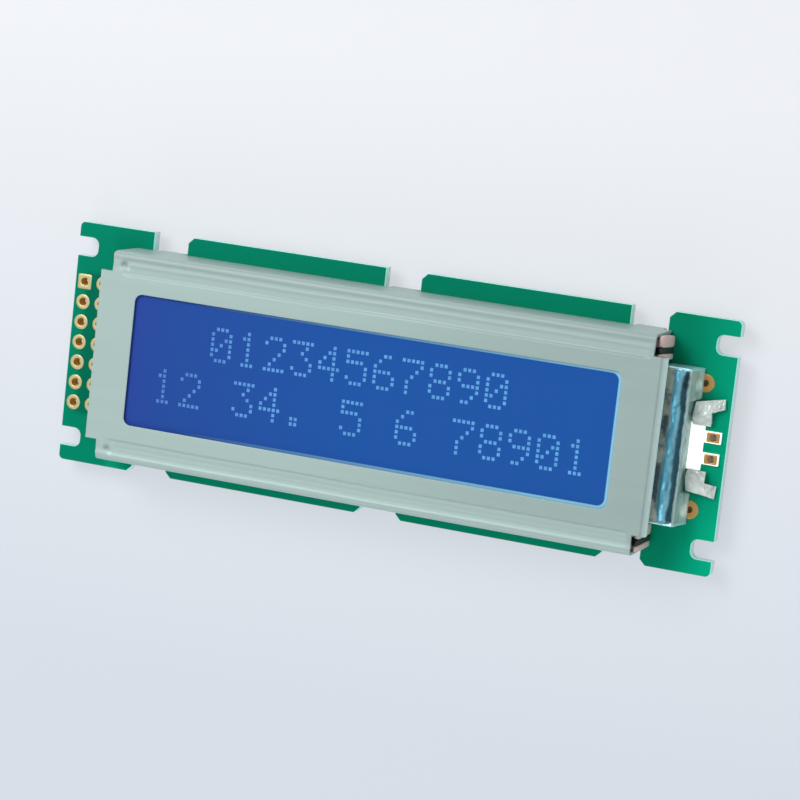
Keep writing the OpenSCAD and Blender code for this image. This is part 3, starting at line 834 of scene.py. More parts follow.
# %% Eyelets as one piece
def build_eyelets(name, eyelets, node, finish):
    """One piece from several eyelets; it stands for the solid with the same holes."""
    points, faces = joined(eyelets)
    made = mesh_piece(name, points, faces, finish)
    weld(made)
    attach(made, "root")
    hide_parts(node)
    print(name, len(eyelets), "holes,", len(made.data.polygons), "faces")
    return made


# %% [markdown]
# ### Gold over copper
# The header's pads are pale gold, almost cream where they are flat, and the barrels inside the
# holes look brown because little light gets down there. A metal shader does this by itself if
# its colour is right. The barrel is rough and less of a mirror than the pad, so it still catches
# some of the light that falls into the hole.

# %% Finish of the pads
def gold_finish(name, pale, deep, rough):
    """Metal on the pads; below the surface the rough barrel is less metallic."""
    finish, tree, shader = new_finish(name, Roughness=rough)
    depth = axis_value(tree, "Z", BOARD_TOP - 0.45, BOARD_TOP + 0.03)
    base = ramp(tree, depth, [(0.0, deep), (0.8, deep), (1.0, pale)])
    put(shader, "Metallic", spread_out(tree, depth, 0.0, 1.0, 0.1, 0.7))
    put(shader, "Base Color", mottled(tree, base, 1500.0, 0.25))
    grained(tree, shader, 9000.0, 1200.0, 0.4, 0.3, 0.01)
    return finish


gold = gold_finish("gold_plate", shade(226, 210, 152), shade(226, 180, 84), 0.38)
warm_gold = gold_finish("copper_gold", shade(206, 162, 92), shade(226, 150, 70), 0.36)

# %% Header holes: the first pad is square, the others are round
HEADER_HOLE, HEADER_PAD = 0.5, 0.93
SQUARE, ROUND, OBLONG = 14, 2, 10  # powers of the outline
pad_low, pad_high = box_mm("header_pads")
header_x = pad_low[0] + HEADER_PAD + np.array([0, PITCH])
header_y = (3 - np.arange(7)) * PITCH
header_places = [(x, y) for x in header_x for y in header_y]
header = [eyelet(place, HEADER_HOLE, (HEADER_PAD, HEADER_PAD), ROUND if number else SQUARE,
                 pad_low[2], pad_high[2]) for number, place in enumerate(header_places)]
header_eyelets = build_eyelets("header_eyelets", header, "header_pads", gold)

# %% Spare holes for a wider lamp, and the supply holes
SPARE_HOLE, SPARE_PAD = 0.4, 1.1
spare_low, spare_high = box_mm("spare_lamp_pads")
spare_x = (spare_low[0] + spare_high[0]) / 2
spare = [eyelet((spare_x, y), SPARE_HOLE, (SPARE_PAD, SPARE_PAD), ROUND, spare_low[2], spare_high[2])
         for y in (spare_low[1] + SPARE_PAD, spare_high[1] - SPARE_PAD)]
spare_eyelets = build_eyelets("spare_eyelets", spare, "spare_lamp_pads", warm_gold)

FEED_HOLE, FEED_PAD = 0.45, (0.78, 0.58)
feed_low, feed_high = box_mm("feed_pads")
feed_x = (feed_low[0] + feed_high[0]) / 2
feed = [eyelet((feed_x, y), FEED_HOLE, FEED_PAD, OBLONG, feed_low[2], feed_high[2])
        for y in (-PITCH / 2, PITCH / 2)]
feed_eyelets = build_eyelets("feed_eyelets", feed, "feed_pads", warm_gold)

# %% [markdown]
# ## The mirror foil
# A strip of mirror foil is folded over the lamps and the end of the light guide. It was pressed
# down by hand, so it is creased, and two corners that were slit to clear the lamp board stick
# out as small wings. The foil is three grids that share their edges: the top, the end that falls
# to the board, and the two sides. One formula of the place in space creases them all, so that
# shared edges stay shared.

# %% Lengths of the foil
FOIL_X0 = foil_low[0]  # edge under the bezel
FOIL_TURN = 38.0  # where the top begins to turn down
FOIL_TURN_R = 0.3  # radius of that turn
FOIL_MIDDLE = 5.4  # half of the part that stands over the lamp board
FOIL_TOP = foil_high[2]
FOOT = (38.95, 3.17)  # x and z of the lower edge
FOOT_STEP = (0.7, 0.45)  # the middle of that edge stands back and higher
foil_half = (foil_high[1] - foil_low[1]) / 2
foil_y = np.linspace(-foil_half, foil_half, 139)
print("foil from x", round(FOIL_X0, 2), "half width", round(foil_half, 2), "top", round(FOIL_TOP, 2))


# %% Creases
def crease(points):
    """Moves points of the foil by waves of two sizes; the edge under the bezel stays flat."""
    x, y, z = points[..., 0], points[..., 1], points[..., 2]
    along = x - 0.8 * z
    free = ease(x, 36.3, 36.9)
    long_wave = np.abs(waves(along * 1.6, y * 0.7, seed=21, length=4.5))
    short_wave = np.abs(waves(along, y, seed=22, length=1.7))
    inner = ease(foil_half - np.abs(y), 0.0, 0.5)
    height = 0.06 + 0.11 * long_wave + 0.05 * short_wave
    wall = ease(6.2 - z, 0.0, 0.6) * ease(z, 3.3, 4.0)
    moved = points.copy()
    moved[..., 2] -= height * free * inner * ease(z, 5.4, 6.1)
    moved[..., 0] -= (height * 1.3 - 0.06) * wall * inner
    return moved


def foil_foot():
    """Where the end of the foil stands: spread to the board, or upright over the lamp board."""
    middle = 1 - ease(np.abs(foil_y), FOIL_MIDDLE - 0.15, FOIL_MIDDLE + 0.15)
    return FOOT[0] - FOOT_STEP[0] * middle, FOOT[1] + FOOT_STEP[1] * middle


# %% The foil as one sheet
def build_foil(finish):
    """Top, end and sides of the foil, welded and creased."""
    foot_x, foot_z = foil_foot()
    turn = np.linspace(0, math.pi / 2, 7)
    flat = np.linspace(FOIL_X0, FOIL_TURN, 27)
    top_x = np.concatenate([flat, FOIL_TURN + FOIL_TURN_R * np.sin(turn[1:])])
    top_z = np.concatenate([np.full_like(flat, FOIL_TOP),
                            FOIL_TOP - FOIL_TURN_R + FOIL_TURN_R * np.cos(turn[1:])])
    row, y = np.meshgrid(np.arange(len(top_x)), foil_y, indexing="ij")
    top = np.stack([top_x[row], y, top_z[row]], axis=2)
    fall = np.linspace(0, 1, 19)[:, None]
    end_x = top_x[-1] - 0.05 + (foot_x - top_x[-1] + 0.05) * fall ** 1.3
    end_x[0] = top_x[-1]
    end_z = top_z[-1] + (foot_z - top_z[-1]) * fall
    end = np.stack([end_x, np.broadcast_to(foil_y, end_x.shape), end_z], axis=2)
    side_x = FOIL_X0 + (top_x - FOIL_X0)[None, :] * ((end_x[:, :1] - FOIL_X0) / (top_x[-1] - FOIL_X0))
    side_z = top_z[None, :] + (foot_z[0] - top_z[None, :]) * fall
    sides = [np.stack([side_x, np.full_like(side_x, y), side_z], axis=2) for y in (-foil_half, foil_half)]
    points, faces = joined([patch(crease(p)) for p in (top, end, *sides)])
    points = points + np.array([0, MIDDLE_Y, 0])
    made = mesh_piece("foil_hood", points, faces, finish)
    weld(made, upwards=True)
    thicken(made, 0.08, even=False)
    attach(made, "root")
    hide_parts("mirror_foil")
    print("foil:", len(made.data.polygons), "faces")
    return made


# %% The two wings: for each patch the seed of its creases and its four corners
UPPER_WING = (
    (31, (38.35, 3.3, 4.35), (40.6, 4.15, 4.05), (41.1, 5.75, 3.7), (38.6, 5.25, 4.3)),
    (33, (40.6, 4.15, 4.05), (41.95, 4.7, 3.5), (41.85, 5.9, 3.4), (41.1, 5.75, 3.7)),
    (35, (38.35, 3.3, 4.35), (38.5, 2.55, 3.95), (40.55, 2.5, 3.62), (40.6, 4.15, 4.05)))
LOWER_WING = (
    (41, (38.6, -5.2, 4.25), (41.0, -5.6, 3.65), (40.7, -4.05, 4.05), (38.4, -3.5, 4.35)),
    (43, (41.0, -5.6, 3.65), (41.9, -5.85, 3.35), (42.05, -4.3, 3.45), (40.7, -4.05, 4.05)),
    (45, (38.4, -3.5, 4.35), (40.7, -4.05, 4.05), (40.65, -2.75, 3.62), (38.5, -2.7, 3.95)))
BULGE = 0.12


def wing_patch(seed, *corners):
    """A four-cornered patch: corners are mixed by their shares, then creased along its middle."""
    u, v = np.meshgrid(np.linspace(0, 1, 21), np.linspace(0, 1, 15))
    c = np.array(corners, float)
    points = ((1 - u) * (1 - v))[..., None] * c[0] + (u * (1 - v))[..., None] * c[1]
    points = points + (u * v)[..., None] * c[2] + ((1 - u) * v)[..., None] * c[3]
    inner = np.sin(math.pi * u) * np.sin(math.pi * v)
    points[..., 2] += BULGE * waves(u * 5, v * 3, seed, length=2.2) * (0.35 + 0.65 * inner)
    points[..., 0] += 0.06 * waves(u * 4, v * 4, seed + 1, length=1.6) * np.sin(math.pi * u)
    return patch(points)


# %% Both wings as one piece
def build_wings(finish):
    """Each wing is three patches that meet in folds: a flag, its tip and a lobe."""
    points, faces = joined([wing_patch(*given) for given in UPPER_WING + LOWER_WING])
    made = mesh_piece("foil_wings", points, faces, finish)
    weld(made, distance=0.02, upwards=True)
    thicken(made, 0.07, even=False)
    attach(made, "root")
    print("wings:", len(made.data.polygons), "faces")
    return made


# %% [markdown]
# ### Creased mirror foil
# Foil shows little of its own colour and much of the room. Its long folds catch sky light, the
# dark studio and the green board in bands, and its matt back shows on the end that was folded
# down. These reflections are also painted into the metal's colour along the fold, as bands with a
# wavy border, with painted shade and highlight spots and a painted highlight along both folded
# edges; a pale strip is painted light where the bezel's lip shades the foil.

# %% Painted reflections of the foil in bands, as a share of their range along X and a colour; the first pale stops are painted light where the lip shades the foil
BANDS_X = (35.55, 39.55)
FOIL_REFLECTION_BANDS = (
    (0.06, (196, 220, 208)), (0.16, (224, 232, 206)), (0.24, (236, 246, 238)), (0.29, (176, 206, 206)),
    (0.34, (76, 156, 180)), (0.42, (104, 190, 214)), (0.50, (150, 224, 246)),
    (0.56, (142, 206, 226)), (0.60, (66, 120, 138)), (0.64, (46, 86, 100)),
    (0.73, (42, 80, 94)), (0.77, (150, 180, 176)), (1.0, (206, 230, 226)))

# %% Painted shade and highlight spots of the foil: x, y, z, inner and outer radius, and a factor
FOIL_SHADE_AND_HIGHLIGHTS = ((37.75, 8.0, FOIL_TOP, 0.3, 0.6, 0.4), (37.7, 7.2, FOIL_TOP, 0.3, 0.55, 0.4),
              (38.85, 7.1, 4.2, 0.35, 0.9, 1.9), (38.9, -7.6, 4.0, 0.4, 1.0, 1.9))


# %% Finish of the foil
def foil_finish():
    """Mirror metal with painted reflections in bands along the fold, painted spots and edge highlights,
    and a matt end.
    """
    finish, tree, shader = new_finish("foil_mirror", Metallic=0.45)
    where = place_of(tree)
    parts = parts_of(tree, where)
    stretched = add_node(tree, "ShaderNodeMapping", {"Vector": where, "Scale": (1, 0.45, 1)})
    wobble = noise(tree, stretched.outputs["Vector"], 700.0, 6.0)
    shift = math_node(tree, "MULTIPLY_ADD", wobble, 1.1 * MM, parts["X"])
    place = spread_out(tree, shift, BANDS_X[0] * MM, BANDS_X[1] * MM)
    bands = ramp(tree, place, [(stop, shade(*colour)) for stop, colour in FOIL_REFLECTION_BANDS])
    # painted reflection: dark blue patches in the pale strip near the lip
    patches = spread_out(tree, noise(tree, where, 420.0, 5.0), 0.46, 0.56, 0.0, 0.85)
    near = spread_out(tree, place, 0.31, 0.25)
    bands = mixed_colour(tree, math_node(tree, "MULTIPLY", patches, near), bands, shade(52, 92, 108))
    bands = tinted(tree, bands, spots(tree, where, 1.0, FOIL_SHADE_AND_HIGHLIGHTS))
    size = math_node(tree, "ABSOLUTE", math_node(tree, "SUBTRACT", parts["Y"], MIDDLE_Y * MM))
    # painted highlight along both folded edges
    fold = spread_out(tree, size, 8.85 * MM, 9.0 * MM)
    bands = mixed_colour(tree, fold, bands, shade(186, 238, 240))
    put(shader, "Base Color", mottled(tree, bands, 700.0, 0.5))
    put(shader, "Roughness", spread_out(tree, place, 0.74, 0.8, 0.24, 0.5))
    grained(tree, shader, 1500.0, 500.0, 0.5, 0.5, 0.03)
    return finish


# %% Finish of the wings
def wing_finish():
    """The foil's matt silver back, with crumpled creases."""
    finish, tree, shader = new_finish("foil_back", Metallic=0.3, Roughness=0.4)
    put(shader, "Base Color", mottled(tree, shade(204, 213, 207), 900.0, 1.0))
    grained(tree, shader, 1800.0, 700.0, 0.5, 0.7, 0.05)
    return finish


foil = build_foil(foil_finish())
wings = build_wings(wing_finish())

# %% [markdown]
# ## Rubber connectors
# The glass is joined to the board by two strips of rubber: a black core of fine conducting
# layers between two pink sponges. Under the glass they are squeezed. Where they stick out past
# its end they swell. Each strip is one rounded section carried along the board, and the section
# grows at the ends by a smooth step.

# %% Strips of rubber: the solid that each belongs to, where it starts along Y, and its width
STRIPS = (("connector_sponges", 0.0, 0.75), ("connector_cores", 0.75, 0.7),
          ("connector_sponges", 1.45, 1.4))
STRIPS_WIDTH = 2.85  # of all three
STRIP_OUT = 0.38  # how far they reach past the solids
sponge_low, sponge_high = box_mm("connector_sponges")
SQUEEZED_TOP = box_mm("front_glass")[0][2]


def strip(y, width):
    """A rounded section along X; near the ends it rises and bulges, and it closes at both ends.

    The section is the curve |y|^(2/k) + |z|^(2/k) = 1 with a small k, so it is nearly square.
    """
    reach = sponge_high[0] + STRIP_OUT
    inner = np.array([0.9, 0.76, 0.66, 0.56, 0.46, 0.38, 0.3, 0.22, 0.14, 0.07, 0.02, 0.0])
    right = np.concatenate([np.linspace(0, 33, 12), reach - inner])
    x = np.concatenate([-right[:0:-1], right])
    past = reach - np.abs(x)
    swell = 1 - ease(past, 0.35, 0.8)
    close = 1 - 0.16 * (1 - np.clip(past / 0.12, 0, 1)) ** 2
    turn = np.linspace(0, math.tau, 28, endpoint=False)
    power = 0.35
    side = np.sign(np.cos(turn)) * np.abs(np.cos(turn)) ** power
    up = np.sign(np.sin(turn)) * np.abs(np.sin(turn)) ** power
    base = sponge_low[2]
    height = (SQUEEZED_TOP - base) + (sponge_high[2] - SQUEEZED_TOP) * swell
    middle = base + height / 2
    half_y = (width / 2 - 0.01) * close
    half_z = height / 2 * close
    ring_z = middle[:, None] + half_z[:, None] * up[None, :]
    depth = (sponge_high[2] - ring_z) / (sponge_high[2] - base)
    lean = (0.25 - 0.35 * depth) * (y > MIDDLE_Y) * swell[:, None]
    ring_y = y + width / 2 + half_y[:, None] * side[None, :] + lean
    ring_x = np.broadcast_to(x[:, None], ring_y.shape)
    rings = np.stack([ring_x, ring_y, ring_z], axis=2)
    ends = [np.broadcast_to(ring.mean(axis=0), ring.shape)[None] for ring in (rings[0], rings[-1])]
    caps = [rings[:1] * (1 - k) + ends[0] * k for k in (1.0, 0.5)]
    caps_far = [rings[-1:] * (1 - k) + ends[1] * k for k in (0.5, 1.0)]
    return patch(np.concatenate([*caps, rings, *caps_far]), ring=True)


# %% Strips as pieces
def build_connectors(name, node, finish):
    """All strips of one rubber, on both sides of the cell."""
    shapes = []
    for base_y in (sponge_low[1], sponge_high[1] - STRIPS_WIDTH):
        shapes += [strip(base_y + start, width) for owner, start, width in STRIPS if owner == node]
    points, faces = joined(shapes)
    made = mesh_piece(name, points, faces, finish)
    weld(made, distance=0.001)
    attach(made, "root")
    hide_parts(node)
    print(name, len(shapes), "strips")
    return made


# %% Finish of the sponges
def sponge_finish():
    """Pink silicone with fine pores, their middles darker as painted shade."""
    finish, tree, shader = new_finish("sponge_pink", Roughness=0.75, Subsurface_Weight=0.1,
                                      Subsurface_Scale=0.0004)
    pores = add_node(tree, "ShaderNodeTexVoronoi", {"Vector": place_of(tree), "Scale": 7000.0})
    # the middle of each pore is painted darker, as painted shade
    base = ramp(tree, pores.outputs["Distance"], [
        (0.0, shade(176, 140, 132)), (0.35, shade(222, 194, 186)), (1.0, shade(232, 206, 198))])
    put(shader, "Base Color", mottled(tree, base, 900.0, 0.2))
    grained(tree, shader, 7000.0, 1500.0, 0.3, 0.5, 0.02)
    return finish


# %% Finish of the cores
def core_finish():
    """Black silicone in fine layers along the strip: dark carbon and a little paler rubber."""
    finish, tree, shader = new_finish("core_black", Roughness=0.5)
    layers = add_node(tree, "ShaderNodeTexWave", {
        "Vector": place_of(tree), "Scale": 3200.0, "Distortion": 0.4}, bands_direction="X")
    put(shader, "Base Color", ramp(tree, layers.outputs["Fac"], [
        (0.3, shade(14, 18, 18)), (0.7, shade(44, 50, 48))]))
    grained(tree, shader, 6000.0, 900.0, 0.3, 0.3, 0.01)
    return finish


sponges = build_connectors("sponge_strips", "connector_sponges", sponge_finish())
cores = build_connectors("core_strips", "connector_cores", core_finish())

# %% [markdown]
# ## Resin caps on the back
# The bare chips on the back are sealed under drops of black resin. A drop spreads until its own
# skin holds it, so its outline is nearly round but never quite, and its top is a low dome with a
# few slow waves. That is a grid of radius and angle.


# %% A drop of resin
def build_drop(name, node, seed, finish):
    """Rows run from the middle of the dome out to the board, then back under it."""
    low, high = box_mm(node)
    middle = (low + high) / 2
    radius = (high[0] - low[0]) / 2
    share = np.sin(np.linspace(0, math.pi / 2, 26))
    turn = np.linspace(0, math.tau, 96, endpoint=False)
    reach, angle = np.meshgrid(share, turn, indexing="ij")
    edge = radius * (0.975 + 0.02 * waves(np.cos(angle) * 3, np.sin(angle) * 3, seed, length=4))
    x = middle[0] + reach * edge * np.cos(angle)
    y = middle[1] + reach * edge * np.sin(angle)
    height = (high[2] - low[2]) * (1 - reach ** 3.4) ** 0.62
    height = height * (1 - 0.035 * (1 + waves(x, y, seed + 1, length=6)) * (1 - reach ** 2) * reach)
    dome = np.stack([x, y, high[2] - height], axis=2)
    under = np.stack([np.full(96, middle[0]), np.full(96, middle[1]), np.full(96, high[2])], axis=1)
    made = mesh_piece(name, *patch(np.concatenate([dome, under[None]]), ring=True), finish)
    weld(made, distance=0.001)
    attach(made, "root")
    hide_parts(node)
    print(name, "radius", round(radius, 2), "height", round(float(height.max()), 2))
    return made


# %% Finish of the resin
def resin_finish():
    """Black resin with a soft skin, a few pits and faint cloudiness."""
    finish, tree, shader = new_finish("resin_black", Roughness=0.3, Specular_IOR_Level=0.5,
                                      Coat_Weight=0.2, Coat_Roughness=0.15)
    put(shader, "Base Color", mottled(tree, shade(26, 26, 28), 260.0, 0.5))
    grained(tree, shader, 1400.0, 180.0, 0.5, 0.35, 0.03)
    return finish


resin = resin_finish()
controller = build_drop("controller_drop", "controller_resin", 51, resin)
driver = build_drop("driver_drop", "driver_resin", 57, resin)

# %% [markdown]
# ## Green solder mask and cut edges
# The board is glass cloth in resin, covered by a green lacquer. The lacquer is on the two faces
# only: where the board was milled, the pale cloth shows. The solid's shape is right as it is, so
# it keeps it, and the finish tells faces from edges by the direction they look in. The cut edges
# carry a faint painted glow, for the light they let through, and a painted highlight along their
# top. The lacquer is painted lighter at the lamp's end and on the strips below the bezel that lie
# in its shade.

# %% Tones of the lacquer and painted light: a range along X and Y, the width of its border, and a factor. The first is bare laminate between the pad columns, the second a darker patch by the bezel's upper left end, the last two painted light where the board lies in the bezel's shade
BOARD_TONES_AND_PAINTED_LIGHT = (
    ((-41.0, -36.0), (-8.9, 8.9), 0.7, 0.68), ((-37.5, -34.0), (12.0, 14.2), 1.5, 0.9),
    ((33.0, 46.0), (-20.0, -8.0), 4.0, 1.28), ((-36.0, 33.0), (-16.0, -13.0), 1.0, 1.3))


# %% Finish of the board
def board_finish():
    """Green lacquer with painted light on the faces, pale cloth on the cut edges with a painted highlight
    along their top and a painted glow.
    """
    finish, tree, shader = new_finish("solder_mask_green", Specular_IOR_Level=0.04)
    coords = add_node(tree, "ShaderNodeTexCoord").outputs
    # the right-hand end is painted lighter, as painted light from the lamp
    green = ramp(tree, axis_value(tree, "X", -42.5, 42.5), [
        (0.0, shade(0, 128, 98)), (0.6, shade(0, 124, 94)), (0.93, shade(0, 128, 95)),
        (0.97, shade(0, 142, 107)), (1.0, shade(0, 152, 116))])
    green = mottled(tree, green, 90.0, 0.09)
    for x_range, y_range, soft, factor in BOARD_TONES_AND_PAINTED_LIGHT:
        mask = soft_box(tree, coords["Object"], x_range, y_range, soft)
        green = tinted(tree, green, spread_out(tree, mask, 0.0, 1.0, 1.0, factor))
    weave = add_node(tree, "ShaderNodeTexWave", {
        "Vector": coords["Object"], "Scale": 2600.0, "Distortion": 1.5}, bands_direction="Z")
    threads = ramp(tree, weave.outputs["Fac"], [
        (0.2, shade(178, 196, 198)), (0.8, shade(202, 216, 220))])
    # painted highlight along the top of the cut edge
    rim = axis_value(tree, "Z", BOARD_TOP - 0.55, BOARD_TOP - 0.25)
    cloth = mixed_colour(tree, rim, mottled(tree, threads, 700.0, 0.2), shade(160, 244, 220))
    facing = math_node(tree, "ABSOLUTE", parts_of(tree, coords["Normal"])["Z"])
    flat = spread_out(tree, facing, 0.4, 0.6)
    colour = mixed_colour(tree, flat, cloth, green)
    put(shader, "Base Color", colour)
    put(shader, "Emission Color", colour)
    # painted glow on the cut edges
    put(shader, "Emission Strength", spread_out(tree, flat, 0.0, 1.0, 0.22, 0.0))
    put(shader, "Roughness", spread_out(tree, flat, 0.0, 1.0, 0.8, 0.36))
    grained(tree, shader, 1600.0, 350.0, 0.4, 0.25, 0.012)
    return finish


finish_node("pcb", board_finish())
print("board finished")

# %% [markdown]
# ## Copper lines under the lacquer
# The lines that join the header to the chips are copper strips etched on the board, and the
# lacquer follows them, so each one is a low ridge of a lighter green. A bump map could hint at
# them, but a ridge that is really there also shows at a grazing angle. Each line is a path of a
# few corners. Its two rails are the path moved to either side by half the width, mitred at the
# corners, and all lines of one bundle are worked out together as one array.


# %% Ridges along paths
LINE_WIDTH = 0.26
LINE_HEIGHT = 0.035
LINE_START = 0.8  # from the middle of a pad or from a cap's border


def ridges(paths, side):
    """Low ridges with sloping flanks along paths; side is 1 for the front and -1 for the back.

    Paths: lines x corners x 2. At a corner the rail goes along the mean of both normals, longer
    by the inverse of the half angle's cosine.
    """
    step = np.diff(paths, axis=1)
    step = step / np.maximum(np.linalg.norm(step, axis=2, keepdims=True), 1e-9)
    normal = np.stack([-step[..., 1], step[..., 0]], axis=2)
    before = np.concatenate([normal[:, :1], normal], axis=1)
    after = np.concatenate([normal, normal[:, -1:]], axis=1)
    rail = (before + after) / np.maximum(1 + (before * after).sum(axis=2, keepdims=True), 0.3)
    across = np.array([-1.0, -0.7, 0.7, 1.0]) * LINE_WIDTH / 2
    lift = np.array([-0.2, 1.0, 1.0, -0.2]) * LINE_HEIGHT
    base = BOARD_TOP if side > 0 else BOARD_BACK
    flat = paths[:, :, None, :] + rail[:, :, None, :] * across[None, None, :, None]
    height = np.broadcast_to(base + side * lift, flat.shape[:3])
    points = np.concatenate([flat, height[..., None]], axis=3)
    points = points if side < 0 else points[:, :, ::-1]
    return [patch(line) for line in points]


# %% Paths with one slope
def bend_paths(start, end, turn):
    """Lines from start to end, lines x 2 each: straight, a slope of 45 degrees, straight.

    turn is where along X the slope of each line begins.
    """
    rise = end[:, 1] - start[:, 1]
    corner = np.stack([turn, start[:, 1]], axis=1)
    after = np.stack([turn + np.abs(rise), end[:, 1]], axis=1)
    return np.stack([start, corner, after, end], axis=1)


# %% Even rows
def spread(middle, count, pitch):
    """Places at an even pitch about a middle."""
    return middle + (np.arange(count) - (count - 1) / 2) * pitch


# %% Lines between the header and the first cap
UNDER_CAP = 0.9  # how far a line runs on under a cap
FIRST_TURN = -36.4  # where the outermost line turns off
drop_boxes = [box_mm(node) for node in ("controller_resin", "driver_resin")]
drop_places = [(low + high) / 2 for low, high in drop_boxes]
drop_radii = [(high - low)[0] / 2 for low, high in drop_boxes]


def header_lines():
    """Seven lines from the inner header pads to the first cap, drawn together on the way."""
    start = np.stack([np.full(7, header_x[1] + LINE_START), header_y], axis=1)
    goal = drop_places[0][1] + (3 - np.arange(7)) * 0.7
    end = np.stack([np.full(7, drop_places[0][0] - drop_radii[0] + UNDER_CAP), goal], axis=1)
    turn = FIRST_TURN + 0.9 * (3 - np.abs(3 - np.arange(7)))
    return bend_paths(start, end, turn)


# %% Lines that fan out from the caps to two rows of vias
VIA_PITCH, CAP_PITCH = 0.82, 0.5
VIA_Y = 10.3  # from the bezel's middle line
VIA_STAGGER = 0.55


def fan_lines(place, radius, count, side):
    """Lines from a cap straight to a row of vias beside one long edge of the bezel."""
    x = spread(place[0], count, VIA_PITCH)
    inside = spread(place[0], count, CAP_PITCH)
    low = place[1] + side * np.sqrt(np.maximum((radius - 0.5) ** 2 - (inside - place[0]) ** 2, 0.1))
    knee = low + side * 0.7
    far = np.full(count, side * VIA_Y) + side * VIA_STAGGER * (np.arange(count) % 2) + MIDDLE_Y
    out = knee + side * np.abs(x - inside)
    return np.stack([np.stack([inside, low], 1), np.stack([inside, knee], 1),
                     np.stack([x, out], 1), np.stack([x, far], 1)], axis=1)


# %% Lines from the caps to the small parts between them
CHIP_ROWS = np.array([6.6, 3.6, 0.6, -2.4, -5.4])
CHIP_ENDS = (-0.9, 1.3)  # left and right border of the column of small parts


def chip_lines():
    """Five lines from each cap to the column of small parts; they start close together."""
    near = drop_places[0][0] + drop_radii[0] * 0.94
    far = drop_places[1][0] - drop_radii[1] * 0.94
    left = bend_paths(np.stack([np.full(5, near - LINE_START), CHIP_ROWS * 0.42], 1),
                      np.stack([np.full(5, CHIP_ENDS[0]), CHIP_ROWS], 1), np.full(5, near + 0.25))
    right = bend_paths(np.stack([np.full(5, CHIP_ENDS[1]), CHIP_ROWS], 1),
                       np.stack([np.full(5, far + UNDER_CAP), CHIP_ROWS * 0.4], 1),
                       np.full(5, CHIP_ENDS[1] + LINE_START))
    return [left, right]


# %% Vias
def via_dots(places, side, radius=0.33):
    """Small lacquered vias: low rings with a dimple in the middle."""
    share = np.array([1.0, 0.85, 0.5, 0.3, 0.0])
    lift = np.array([-0.2, 0.9, 1.0, 0.3, 0.0]) * LINE_HEIGHT
    turn = np.linspace(0, math.tau, 14, endpoint=False) * side
    ring = radius * share[:, None, None] * np.stack([np.cos(turn), np.sin(turn)], axis=1)[None]
    flat = places[:, None, None, :] + ring[None]
    base = BOARD_TOP if side > 0 else BOARD_BACK
    height = np.broadcast_to((base + side * lift)[None, :, None], flat.shape[:3])
    points = np.concatenate([flat, height[..., None]], axis=3)
    return [patch(dot, ring=True) for dot in points]


# %% Finish of the lines
def line_finish():
    """Lacquer over copper: a lighter green than over bare board."""
    finish, tree, shader = new_finish("solder_mask_lines", Roughness=0.36, Specular_IOR_Level=0.2)
    put(shader, "Base Color", mottled(tree, shade(18, 158, 116), 120.0, 0.1))
    grained(tree, shader, 1600.0, 350.0, 0.4, 0.25, 0.008)
    return finish


# %% All lines as one piece, with the two lamp feeds on the back and one line on the front
FEEDS = np.array([[[36.9, -3.4], [38.0, -3.4], [39.2, -2.2], [39.9, -1.5]],
                  [[35.5, -3.4], [34.6, -3.4], [33.4, -2.2], [27.5, -2.2]]])
FRONT_LINE = np.array([[[header_x[1] + LINE_START, header_y[6]], [-37.4, header_y[6]],
                        [-36.7, header_y[6] - 0.7], [-35.2, header_y[6] - 0.7]]])


def build_lines(finish):
    """All lines and vias, front and back, as one piece."""
    back = [header_lines(), *chip_lines()]
    for place, radius, count in zip(drop_places, drop_radii, (19, 17)):
        back += [fan_lines(place, radius, count, side) for side in (1, -1)]
    vias = np.concatenate([lines[:, -1] for lines in (*back[3:], FEEDS[1:])])
    shapes = [shape for lines in (*back, FEEDS) for shape in ridges(lines, -1)]
    shapes += ridges(FRONT_LINE, 1) + via_dots(vias, -1)
    made = mesh_piece("copper_lines", *joined(shapes), finish)
    weld(made, distance=0.001)
    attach(made, "root")
    print("copper lines:", len(shapes), "shapes,", len(made.data.polygons), "faces")
    return made


lines = build_lines(line_finish())

# %% [markdown]
# ## The lamps and what is inside
# The rest keeps its solids. Most of it lies inside and is seen only when the module is taken
# apart, but each piece still gets the look of its own stuff: white laminate that glows by the
# lamps, clear acrylic, films, thin glass, resin, and the small parts on the back.

# %% Finishes of the lit end
def glow_finish(name, colour, strength, rough=0.5):
    """White moulding or laminate that passes on the lamps' light."""
    finish, tree, shader = new_finish(name, Roughness=rough, Emission_Strength=strength)
    tone = mottled(tree, colour, 400.0, 0.08)
    put(shader, "Base Color", tone)
    put(shader, "Emission Color", tone)
    grained(tree, shader, 3000.0, 500.0, 0.4, 0.2, 0.01)
    return finish


finish_node("lamp_board", glow_finish("lamp_white", shade(248, 248, 244), 0.62))
finish_node("lamps", glow_finish("lamp_lens", shade(252, 246, 222), 0.8, 0.35))


# %% Finishes of films, glass and guide
def plain_finish(name, colour, scale, amount, rough, grain_depth=0.01, **more):
    """One material with patches and a fine grain, for pieces of one stuff."""
    finish, tree, shader = new_finish(name, Roughness=rough, **more)
    put(shader, "Base Color", mottled(tree, colour, scale, amount))
    grained(tree, shader, 3000.0, 400.0, 0.4, 0.3, grain_depth)
    return finish


